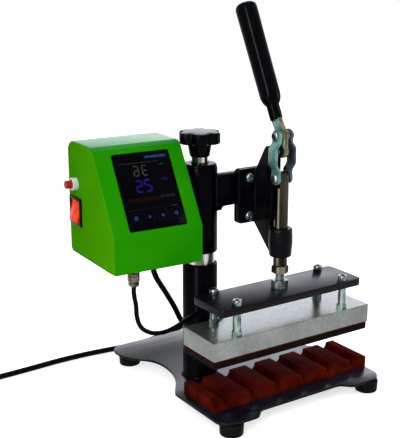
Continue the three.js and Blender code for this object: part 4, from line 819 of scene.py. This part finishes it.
# Toggle clamp body: a casting, so its parts flow into each other
clampValues = {
    "pivot": 273.9, "web": 5.85, "voxel": 0.62, "smoothing": 3, "fork": 2.85, "flangeThick": 4.5, "flangeFace": 42.5,
    "webOutline": [(42, 190.8), (11.7, 161.2), (9.2, 161.2), (9.2, 267.7), (-1, 267.7), (-6.2, 272), (-4.4, 278.5),
                   (0, 280.1), (6.2, 280.1), (22, 276), (37.5, 250.5), (42, 249.6)],
    "barrel": [(7.9, 160.3), (11.2, 160.3), (11.9, 161.1), (13, 175.8), (12.5, 189.6), (11.7, 191.1), (11, 191.3),
               (7.9, 191.3), (7.9, 160.3)],
    "cheek": [(7.4, -6.2), (7.4, 6.2), (-2.5, 6.2), (-6.2, 2.5), (-6.2, -2.5), (-2.5, -6.2)],
    "slot": [(-9, -7.2), (8, -7.2), (8, 7.2), (-9, 7.2)],
    "rivet": [(0, -6.9), (3.5, -6.9), (3.9, -6.5), (3.9, -6.05), (3, -6.05), (3, 6.05), (3.9, 6.05), (3.9, 6.5),
              (3.5, 6.9), (0, 6.9)],
}


# A slab across the clamp's middle plane, drawn as (y, z) round a point at that height
def middleSlab(outline, half, height=0, edge=0):
    return slab(outline, 2 * half, edge=edge), shift(-half, 0, height) @ facingSide


casting = gathered(middleSlab(clampValues["webOutline"], clampValues["web"], edge=0.5),
                   flange(clampValues["flangeThick"], clampValues["flangeFace"]), spun(clampValues["barrel"], 56),
                   middleSlab(clampValues["cheek"], clampValues["web"], clampValues["pivot"]))
casting = castOver(casting, clampValues["voxel"], clampValues["smoothing"])
casting = cutWith(casting, *middleSlab(clampValues["slot"], clampValues["fork"], clampValues["pivot"]))
piece("clamp_casting", casting, "castBlack", "head", ["clamp_body"], smooth=38)

boltValues = {"face": 38, "head": [(0, -0.2), (5.6, -0.2), (5.6, 0.9), (5.2, 2), (4.2, 2.9), (2.8, 3.4), (0, 3.4)],
              "socket": (4, 2, 3.4), "shank": [(0, -13.5), (2.6, -13.5), (3, -13), (3, 0), (0, 0)]}
for i, (x, z) in enumerate(flangeHoles):
    bolt = gathered(socketHead(boltValues["head"], *boltValues["socket"]), spun(boltValues["shank"], 24))
    piece(f"flange_bolt_{i + 1}", bolt, "brightZinc", "head", [f"clamp_bolt_{i + 1}"],
          shift(x, boltValues["face"], z) @ facingFront)
piece("pivot_rivet", spun(clampValues["rivet"], 40), "brightZinc", "head", ["lever_pivot_pin"],
      shift(0, 0, clampValues["pivot"]) @ alongX)

# Lever, grip and the pin that carries the links; the blank is drawn round the pivot, with the lever up
leverValues = {
    "lean": 26.5, "foot": (10.5, 31), "thick": 5, "half": 6.5, "hub": 7.4, "hubSteps": 24, "tang": 52,
    "knees": (14, 18), "edge": 0.5, "crank": 16,
    "boss": [(0, -5.8), (5, -5.8), (5.4, -5.4), (5.4, 5.4), (5, 5.8), (0, 5.8)],
    "grip": [(0, 0.6), (5.6, 0), (6.6, 0.5), (6.9, 1.6), (6.9, 15.5), (7.4, 16.8), (9, 19), (10.3, 22), (11, 25.4),
             (11.2, 28.5), (11.3, 60), (11.6, 95), (11.85, 118), (11.85, 123.6), (11.3, 126.5), (9.7, 128.4),
             (6.6, 129.3), (0, 129.4)],
}


# An arc of the hub, then round the crank and the leaning tang under the grip
def leverOutline(values):
    half, hub, steps = values["half"], values["hub"], values["hubSteps"]
    rearKnee, frontKnee = values["knees"]
    lean = math.radians(values["lean"])
    across = Vector((math.cos(lean), -math.sin(lean))) * half
    foot = Vector(values["foot"])
    end = foot + Vector((math.sin(lean), math.cos(lean))) * values["tang"]
    start = math.asin(half / hub)
    angles = [math.pi / 2 + start + 2 * (math.pi - start) * i / steps for i in range(steps + 1)]
    arc = [(hub * math.cos(angle), hub * math.sin(angle)) for angle in angles]
    return arc + [(half, rearKnee), tuple(foot + across), tuple(end + across), tuple(end - across),
                  tuple(foot - across), (-half, frontKnee)]


lever = gathered(middleSlab(leverOutline(leverValues), leverValues["thick"] / 2, edge=leverValues["edge"]),
                 (spun(leverValues["boss"], 40), shift(0, 0, leverValues["crank"]) @ alongX))
lever = piece("lever_blank", lever, "tealZinc", "lever", ["lever_bar"], shift(0, 0, clampValues["pivot"]))
paintFacing(lever, "brownZinc", (0, -1, 0), 0.6)
gripY, gripZ = leverValues["foot"]
piece("dipped_grip", spun(leverValues["grip"], 64), "glossPlastic", "lever", ["lever_grip"],
      shift(0, gripY, clampValues["pivot"] + gripZ) @ turn(-leverValues["lean"], "X"), smooth=70)

pinValues = {"dome": [(0, 0), (5.2, 0), (5.2, 0.9), (4.8, 1.8), (3.9, 2.5), (2.6, 2.8), (0, 2.8)],
             "socket": (3.6, 1.7, 2.8), "seat": 9.45, "shank": [(0, -9.6), (3, -9.6), (3, 9.6), (0, 9.6)],
             "stud": [(0, 6), (3, 6), (3, 9.6), (0, 9.6)]}


def pinHead(side):
    return (socketHead(pinValues["dome"], *pinValues["socket"]),
            shift(side * pinValues["seat"], 0, 0) @ turn(side * 90, "Y"))


linkPin = gathered((spun(pinValues["shank"], 32), alongX), pinHead(1), pinHead(-1))
linkTop = clampValues["pivot"] + leverValues["crank"]
piece("upper_link_bolt", linkPin, "brightZinc", "lever", ["link_pivot_pin"], shift(0, 0, linkTop))

# Links: flat strips pressed outwards round the pivot; "bends" are shares of the length
linkValues = {"length": 44.6, "end": 6.8, "rounding": 6.78, "waist": 6.3, "inner": 6.15, "thick": 3, "edge": 0.45,
              "bow": 4.5, "cuts": 48, "bends": (0.13, 0.31, 0.65, 0.83)}
linkLow = linkTop - linkValues["length"]


def linkStrip():
    values = linkValues
    end, low = values["end"], -values["length"]
    bm = bmesh.new()
    outlineFace(bm, [(-end, low - end), (end, low - end), (end, end), (-end, end)])
    roundCorners(bm, bm.verts[:], values["rounding"], 10)
    for v in bm.verts:
        if low - 1 < v.co.y < 1:
            v.co.x = max(-values["waist"], min(values["waist"], v.co.x))
    for i in range(1, values["cuts"]):
        level = end + (low - 2 * end) * i / values["cuts"]
        bmesh.ops.bisect_plane(bm, geom=bm.verts[:] + bm.edges[:] + bm.faces[:], plane_co=(0, level, 0),
                               plane_no=(0, 1, 0))
    raised(bm, values["thick"])
    softEdges(bm, values["edge"], 2, 60)
    out, flat, back, home = values["bends"]
    for v in bm.verts:
        along = -v.co.y / values["length"]
        rise = min(max((along - out) / (flat - out), 0), 1, max((home - along) / (home - back), 0))
        v.co.z += values["inner"] + values["bow"] * rise * rise * (3 - 2 * rise)
    return bm


# The right link gets a darker, bluer copy of the zinc: painted shade
for name, around, finish in (("right", Matrix(), "shadedLinkZinc"), ("left", turn(180, "Z"), "tealZinc")):
    piece("bowed_link_" + name, linkStrip(), finish, "links", ["link_" + name],
          shift(0, 0, linkTop) @ around @ facingSide, smooth=40)
    stud = gathered((spun(pinValues["stud"], 32), alongX), pinHead(1))
    piece("lower_link_bolt_" + name, stud, "brightZinc", "links", ["link_stud_" + name],
          shift(0, 0, linkLow) @ around)
print("clamp made")

# Ram: plunger, nuts, spindle, plate and the spacers over the heater
rodValues = {
    "radius": 7.6, "tongue": 5.8, "tongueFoot": -11, "edge": 0.4,
    "rod": [(5.3, 149.8), (7, 149.8), (7.6, 150.4), (7.6, 235.2), (0, 235.2), (0, 175), (5.3, 172), (5.3, 149.8)],
    "bounds": [(0, 230), (7.55, 230), (7.55, 260), (0, 260)],
}
radius, foot = rodValues["radius"], rodValues["tongueFoot"]
tipArc = [(radius * math.cos(math.radians(15 * i)), radius * math.sin(math.radians(15 * i))) for i in range(13)]
tongue = gathered(middleSlab([(-radius, foot), (radius, foot), *tipArc], rodValues["tongue"], linkLow,
                             rodValues["edge"]))
tongue = cutWith(tongue, spun(rodValues["bounds"], 56), operation="INTERSECT")
piece("plunger_rod", gathered(spun(rodValues["rod"], 56), tongue), "yellowZinc", "ram", ["plunger"])

spindleValues = {"nut": (16, 8.4, 0.9), "bore": [(0, -1), (5.3, -1), (5.3, 9.4), (0, 9.4)], "hexEnd": (16, 6.4),
                 "hexLow": 110.3, "thread": (5, 116, 169.8, 1.5)}
for name, nodeName, finish, z, angle in (("upper_nut", "lock_nut", "nickel", 141.4, 30),
                                         ("lower_nut", "spindle_nut", "brightZinc", 124.7, 22)):
    nut = cutWith(chamferedHex(*spindleValues["nut"]), spun(spindleValues["bore"], 32))
    piece(name, nut, finish, "ram", [nodeName], shift(0, 0, z) @ turn(angle, "Z"))
spindle = gathered(threaded(*spindleValues["thread"]),
                   (chamferedHex(*spindleValues["hexEnd"]), shift(0, 0, spindleValues["hexLow"])))
piece("threaded_spindle", spindle, "brightZinc", "ram", ["spindle"], smooth=50)

plateValues = {
    "size": (189, 54.5), "thick": 8, "corner": 6, "edge": 0.6, "low": 116.7, "screwAt": (71.5, 21),
    "cap": [(0, 0), (4.9, 0), (5, 0.2), (5, 5.3), (4.7, 5.8), (4.2, 6), (0, 6)], "socket": (5, 3, 6),
    "thread": (3, -42, 0.1, 1), "spacerLow": 92.5, "spacerHex": (10, 5, 0.5),
    "spacer": [(3.3, 0.2), (4.3, 0.2), (4.3, 23.9), (4, 24.2), (3.3, 24.2), (3.3, 0.2)],
}
plateTop = plateValues["low"] + plateValues["thick"]
plate = slab(rectangle(*plateValues["size"]), plateValues["thick"], corner=plateValues["corner"],
             edge=plateValues["edge"], segments=10)
piece("top_plate", plate, "slateEnamel", "ram", ["mount_plate"], shift(0, 0, plateValues["low"]))
screwX, screwY = plateValues["screwAt"]
for i, (x, y) in enumerate(((-screwX, -screwY), (-screwX, screwY), (screwX, -screwY), (screwX, screwY))):
    screw = gathered(socketHead(plateValues["cap"], *plateValues["socket"]), threaded(*plateValues["thread"]))
    piece(f"plate_screw_{i + 1}", screw, "brightZinc", "ram", [f"cap_screw_{i + 1}"], shift(x, y, plateTop), smooth=45)
    spacer = gathered(chamferedHex(*plateValues["spacerHex"]), spun(plateValues["spacer"], 32))
    piece(f"spacer_{i + 1}", spacer, "brightZinc", "ram", [f"standoff_{i + 1}"], shift(x, y, plateValues["spacerLow"]))
dress("heater_block", "heaterMetal")
dress("heater_gasket", "silicone")
dress("platen", "darkPlaten")
dress("terminal_cover", "glossPlastic")
print("ram made")

# Control box: folded sheet, open below, with a sloping front
boxValues = {
    "width": 100, "depth": 107, "height": 119, "front": 38, "slopeRun": 47, "rearLow": 1.4, "rounding": (12, 5, 1.5),
    "fold": 2.2, "wall": 1.6, "hollowTop": 30, "floor": (98.6, 99), "floorThick": 1.7, "floorAt": (50, 56.8, 0.1),
    "screws": ((4, 42.8), (4, 62), (96, 42.8), (96, 62)), "screwLift": 0.3, "cutter": 6,
    "screw": [(0, 1), (2.9, 1), (2.9, 0.2), (2.4, -0.5), (1.2, -0.8), (0, -0.8)],
}
windowValues = {"at": (50.8, 44.3), "size": (64, 80), "gap": 0.3, "corner": 2, "edge": 0.3, "thick": 3, "low": -2.4,
                "cutLow": -3.2}
switchValues = {"at": (88, 47), "opening": (24, 22), "bezel": (30, 28), "bezelThick": 2, "bezelCorner": 1.6,
                "innerCorner": 0.6, "edge": 0.5, "wall": 0.6, "gap": 0.6, "depth": 15, "back": 1, "tilt": 11,
                "width": 21.4,
                "rocker": [(-2.3, 11.4), (-1.9, 0), (-2.3, -11.4), (4.2, -10.3), (7, 0), (4.2, 10.3)]}


def wider(size, margin):
    return rectangle(size[0] + 2 * margin, size[1] + 2 * margin)


width, depth, high = boxValues["width"], boxValues["depth"], boxValues["height"]
front, run, wall, inside = boxValues["front"], boxValues["slopeRun"], boxValues["wall"], boxValues["hollowTop"]
sideOutline = [(0, 0), (depth, boxValues["rearLow"]), (depth, high), (run, high), (0, front)]
shell = bmesh.new()
outlineFace(shell, sideOutline)
for (v, z), radius in zip(sideOutline[2:], boxValues["rounding"]):
    corner = [vert for vert in shell.verts if abs(vert.co.x - v) < 0.01 and abs(vert.co.y - z) < 0.01]
    roundCorners(shell, corner, radius, 10)
raised(shell, width)
softEdges(shell, boxValues["fold"], 4, 60)
bmesh.ops.transform(shell, matrix=facingSide, verts=shell.verts[:])
hollow = slab([(wall, -3), (depth - wall, -3), (depth - wall, inside), (wall, inside)], width - 2 * wall, edge=0)
shell = cutWith(shell, hollow, shift(wall, 0, 0) @ facingSide)
onSlope = shift(0, 0, front) @ turn(math.degrees(math.atan2(high - front, run)), "X")
windowHole = slab(wider(windowValues["size"], windowValues["gap"]), boxValues["cutter"],
                  corner=windowValues["corner"], edge=0)
shell = cutWith(shell, windowHole, onSlope @ shift(*windowValues["at"], windowValues["cutLow"]))
switchSpot = shift(0, *switchValues["at"])
switchHole = slab(wider(switchValues["opening"], switchValues["wall"] + switchValues["gap"]), boxValues["cutter"],
                  edge=0)
shell = cutWith(shell, switchHole, shift(-1, 0, 0) @ switchSpot @ alongX)
housing = piece("box_housing", shell, "greenEnamel", "head", ["box_shell"], boxFrame, smooth=42)
# Painted light: the left side gets a lighter, yellower copy of the green paint
paintFacing(housing, "greenLitSide", (-1, 0, 0), 0.7)
# Painted sheen: the top gets a bluer copy of the green paint
paintFacing(housing, "greenSheenTop", (0, 0, 1), 0.7)

# The floor is black as a guessed finish and as painted shade: its edge gives the dark line under the housing's bottom
# edge
boxFloor = slab(rectangle(*boxValues["floor"]), boxValues["floorThick"], corner=2, edge=0.3)
piece("box_floor", boxFloor, "castBlack", "head", ["bottom_cover"], boxFrame @ shift(*boxValues["floorAt"]))
for i, (u, v) in enumerate(boxValues["screws"]):
    piece(f"cover_screw_{i + 1}", spun(boxValues["screw"], 24), "castBlack", "head", (),
          boxFrame @ shift(u, v, boxValues["screwLift"]))
window = slab(rectangle(*windowValues["size"]), windowValues["thick"], corner=windowValues["corner"],
              edge=windowValues["edge"])
piece("display_window", window, "windowGlass", "head", ["display_panel"],
      boxFrame @ onSlope @ shift(*windowValues["at"], windowValues["low"]))

# Switch, with the rocker at the tilt it rests in, and the breaker above it
opening, depth, thick, back = [switchValues[key] for key in ("opening", "depth", "bezelThick", "back")]
bezel = cutWith(slab(rectangle(*switchValues["bezel"]), thick, switchValues["bezelCorner"], switchValues["edge"]),
                slab(rectangle(*opening), 2 * thick, switchValues["innerCorner"], edge=0), shift(0, 0, -thick / 2))
well = cutWith(slab(wider(opening, switchValues["wall"]), depth, edge=0),
               slab(rectangle(*opening), depth - back, edge=0), shift(0, 0, -back))
piece("switch_frame", gathered((bezel, shift(-thick, 0, 0) @ alongX), (well, alongX)), "glossPlastic", "head",
      ["switch_bezel"], boxFrame @ switchSpot)
acrossRocker = Matrix(((1, 0, 0, 0), (0, 0, -1, switchValues["width"] / 2), (0, 1, 0, 0), (0, 0, 0, 1)))
piece("lit_rocker", slab(switchValues["rocker"], switchValues["width"], edge=switchValues["edge"]), "litRocker",
      "rocker", ["power_rocker"], boxFrame @ switchSpot @ turn(switchValues["tilt"], "Y") @ acrossRocker)

breakerValues = {"at": (87, 76),
                 "ring": [(4.6, 10.2), (4.6, -5.1), (5.1, -5.5), (6, -5.5), (6.5, -5), (6.6, 0), (5.7, 0), (5.7, 12),
                          (4.6, 12), (4.6, 10.2)],
                 "button": [(0, -12.3), (2.2, -12.4), (3.4, -12.2), (4.1, -11.5), (4.3, -10.6), (4.3, 7), (0, 7)]}
breakerSpot = boxFrame @ shift(0, *breakerValues["at"]) @ alongX
piece("breaker_ring", spun(breakerValues["ring"]), "whitePlastic", "head", ["breaker_collar"], breakerSpot)
piece("breaker_button", spun(breakerValues["button"]), "redPlastic", "button", ["reset_button"], breakerSpot)

# Under the box: the heater's socket and plug, and the mains lead's strain relief with its five rings
plugValues = {
    "socket": [(0, 3.4), (6, 3.4), (6, 0.1), (7.1, 0.1), (7.2, -0.4), (6.9, -0.7), (6, -0.7), (6, -1.4), (6.25, -1.8),
               (6, -2.2), (6.25, -2.6), (6, -3), (6.25, -3.4), (6, -3.8), (6, -5), (0, -5)],
    "plug": [(0, -5.3), (5.6, -5.3), (6.2, -5.8), (6.25, -10.6), (5.9, -11.1), (5, -11.4), (5, -12.4), (5.6, -12.9),
             (5.6, -15), (5, -16), (3.4, -17.3), (0, -17.3)],
    "reliefTop": [(0, 3.4), (4.2, 3.4), (4.2, 0), (6.7, 0), (6.7, -2.8), (6.2, -3.2)],
    "reliefRing": [(0, 0), (-0.1, -2.4), (-0.9, -2.6), (-0.9, -3.8)],
    "reliefEnd": [(4.2, -25), (4.0, -26), (3.3, -26), (3.3, -12), (0, -12)],
    "rings": 5, "ringLow": -5, "ringStep": 4, "ringRadius": 5.9, "taper": 0.35,
}
socketSpot = boxFrame @ shift(*boxPlace["socket"], 0)
piece("socket_shell", spun(plugValues["socket"]), "nickel", "head", ["connector_socket"], socketSpot)
piece("cable_plug", spun(plugValues["plug"]), "nickel", "head", ["connector_plug"], socketSpot)
reliefProfile = plugValues["reliefTop"] + [
    (plugValues["ringRadius"] - i * plugValues["taper"] + r, plugValues["ringLow"] - i * plugValues["ringStep"] + z)
    for i in range(plugValues["rings"]) for r, z in plugValues["reliefRing"]] + plugValues["reliefEnd"]
piece("lead_sleeve", spun(reliefProfile, 40), "rubber", "head", ["mains_strain_relief"],
      boxFrame @ shift(*boxPlace["leadHole"], 0))
dress("box_bracket", "blackEnamel")

# Heater cable, from the socket under the box along its route to the heater
cableValues = {
    "radius": 2.4, "drop": (-17.6, -24.5), "bendStart": (-138, 29, 92.5), "bendEnd": (-41, 35.1, 86),
    "route": [(-164.5, 23.5, 130), (-163, 24.5, 117), (-158, 26, 105), (-149, 27.5, 97), (-138, 29, 92.5),
              (-126, 30.5, 91), (-114, 32, 92.5), (-102, 33, 96), (-88, 34, 100), (-74, 35, 102), (-60, 35.5, 100),
              (-49, 35.3, 94), (-41, 35.1, 86), (-37.1, 35, 82.6), (-32.3, 35, 82.25)],
}
cablePoints = [boxPoint(*boxPlace["socket"], z) for z in cableValues["drop"]] + cableValues["route"]
cable, cableLine, cableLength = cordMesh("heater_lead", cablePoints, cableValues["radius"], "cableSheath")
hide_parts("heater_cable")
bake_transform(cable)
print("box made")

# What the display shows: two readings, a bar, two rules and four touch marks, in millimetres up the slope.
# Digits are drawn from seven segments; "step" is their spread and "bar" their long and short side
displayValues = {"lift": 0.6, "thick": 0.06, "step": (0.46, 0.44), "bar": (0.36, 0.13),
                 "icons": ((28.8, 2.5), (43.6, 1.7), (58.4, 1.8), (73.6, 2.3)), "iconHeight": 17, "iconThick": 0.08,
                 "iconFrame": [(0, 5.2, 11, 0.2), (0, -5.2, 11, 0.2), (-5.4, 0, 0.2, 10.2), (5.4, 0, 0.2, 10.2)],
                 "iconFrameThick": 0.05}
segments = {"a": (0, 1), "b": (0.5, 0.5), "c": (0.5, -0.5), "d": (0, -1), "e": (-0.5, -0.5), "f": (-0.5, 0.5),
            "g": (0, 0)}


def bars(items, thick):
    bm = bmesh.new()
    for x, y, width, height in items:
        made = bmesh.ops.create_grid(bm, x_segments=1, y_segments=1, size=0.5)
        bmesh.ops.scale(bm, vec=(width, height, 1), verts=made["verts"])
        bmesh.ops.translate(bm, vec=(x, y, 0), verts=made["verts"])
    raised(bm, thick)
    return bm


def digits(patterns, x, y, height, pitch):
    items = []
    stepX, stepY = displayValues["step"]
    longSide, shortSide = [height * side for side in displayValues["bar"]]
    for i, pattern in enumerate(patterns):
        for name in pattern:
            across, up = segments[name]
            size = (longSide, shortSide) if name in "adg" else (shortSide, longSide)
            items.append((x + i * pitch + across * height * stepX, y + up * height * stepY, *size))
    return items


def lit(name, bm, finish, u=0, v=0):
    piece(name, bm, finish, "head", (), boxFrame @ onSlope @ shift(u, v, displayValues["lift"]))


shown = (
    ("reading_upper", "greyGlow", digits(("abcdeg", "adefg"), 41.3, 64.9, 11.4, 9.6)),
    ("reading_lower", "blueGlow", digits(("abged", "afgcd"), 40.8, 48.9, 13.4, 9.8)),
    ("unit", "blueGlow", [(67.6, 54.6, 1.6, 1.6), (71, 54.9, 3.6, 1.1), (70, 53.4, 1.1, 2.4), (72.6, 53.6, 1.1, 3)]),
    ("mode", "greenGlow", [(69.2, 69.2, 2, 0.9), (71.2, 70, 1.2, 1.8), (73.2, 69.6, 1.4, 1)]),
    ("caption", "captionGlow", [(54.8 + i * 2.45, 78.6, 1.9, 2.6) for i in range(10)]),
    ("rules", "greyGlow", [(46, 73.4, 44, 0.35), (74, 25.4, 6, 0.45)]),
    ("lower_rule", "faintGlow", [(46.5, 25.2, 48, 0.3), (26.5, 25.2, 8, 0.5)]),
    ("bar", "redGlow", [(25.5 + i * 2.3, 35.2, 2.1, 4) for i in range(16)]),
    ("bar_rest", "faintGlow", [(69.2, 36, 15.4, 2.6)]),
)
for name, finish, items in shown:
    lit("display_" + name, bars(items, displayValues["thick"]), finish)
for i, (u, radius) in enumerate(displayValues["icons"]):
    icon = bmesh.new()
    bmesh.ops.create_circle(icon, cap_ends=True, segments=32, radius=radius)
    raised(icon, displayValues["iconThick"])
    border = bars(displayValues["iconFrame"], displayValues["iconFrameThick"])
    lit(f"touch_mark_{i + 1}", icon, "iconGlow", u, displayValues["iconHeight"])
    lit(f"touch_frame_{i + 1}", border, "faintGlow", u, displayValues["iconHeight"])
print("display made")

# Floor and soft studio light: both are brighter to the camera and in reflections, so the ground stays white
stageValues = {"floor": (0.86, 0.86, 0.86), "half": 6, "lift": 0.66, "ambient": 0.45}


def seenDirectly(tree):
    path = node(tree, "ShaderNodeLightPath", {})
    straight, reflected, through = path[0], path[3], path[6]
    return straight.maths("MAXIMUM", straight, reflected.maths("MAXIMUM", reflected, through))


floorShape = bmesh.new()
bmesh.ops.create_grid(floorShape, x_segments=1, y_segments=1, size=stageValues["half"])
floorMesh = bpy.data.meshes.new("floor")
floorShape.to_mesh(floorMesh)
floorShape.free()
floor = linked("floor", floorMesh)
floorMaterial, tree, shader = freshMaterial("paleFloor", {
    "Base Color": shade(stageValues["floor"]), "Roughness": 0.9, "Specular IOR Level": 0.1,
    "Emission Color": (1, 1, 1, 1)})
feed(tree, shader, Emission_Strength=seenDirectly(tree) * stageValues["lift"])
floorMesh.materials.append(floorMaterial)

world = bpy.data.worlds.new("studio")
bpy.context.scene.world = world
world.use_nodes = True
tree = world.node_tree
background = tree.nodes["Background"]
background.inputs["Color"].default_value = (1, 1, 1, 1)
feed(tree, background, Strength=seenDirectly(tree) * (1 - stageValues["ambient"]) + stageValues["ambient"])

# glintLamp stands where keyLamp does and shows only in reflections, for the highlights on the blacks
lamps = {
    "keyLamp": {"at": (-1250, -700, 900), "to": (0, 0, 180), "size": (0.3, 1.3), "power": 11},
    "fillLamp": {"at": (1500, -900, 600), "to": (0, 0, 150), "size": (0.7, 0.9), "power": 8},
    "topLamp": {"at": (100, 300, 1500), "to": (0, 0, 150), "size": (1.2, 1.2), "power": 5},
    "backLamp": {"at": (1600, 2300, 800), "to": (0, 0, 280), "size": (3.4, 0.9), "power": 25,
                 "color": (0.84, 0.87, 1)},
    "glintLamp": {"at": (-1250, -700, 900), "to": (0, 0, 180), "size": (0.22, 1.3), "power": 75, "diffuse": False},
}
for name, values in lamps.items():
    light = bpy.data.lights.new(name, "AREA")
    light.shape = "RECTANGLE"
    light.size, light.size_y = values["size"]
    light.energy = values["power"]
    light.color = values.get("color", (1, 1, 1))
    lamp = linked(name, light)
    lamp.visible_camera = False
    lamp.visible_diffuse = values.get("diffuse", True)
    spot = place(*values["at"])
    away = spot - place(*values["to"])
    lamp.matrix_world = Matrix.Translation(spot) @ away.to_track_quat("Z", "Y").to_matrix().to_4x4()
bpy.context.scene.view_settings.view_transform = "Standard"
print("stage made")
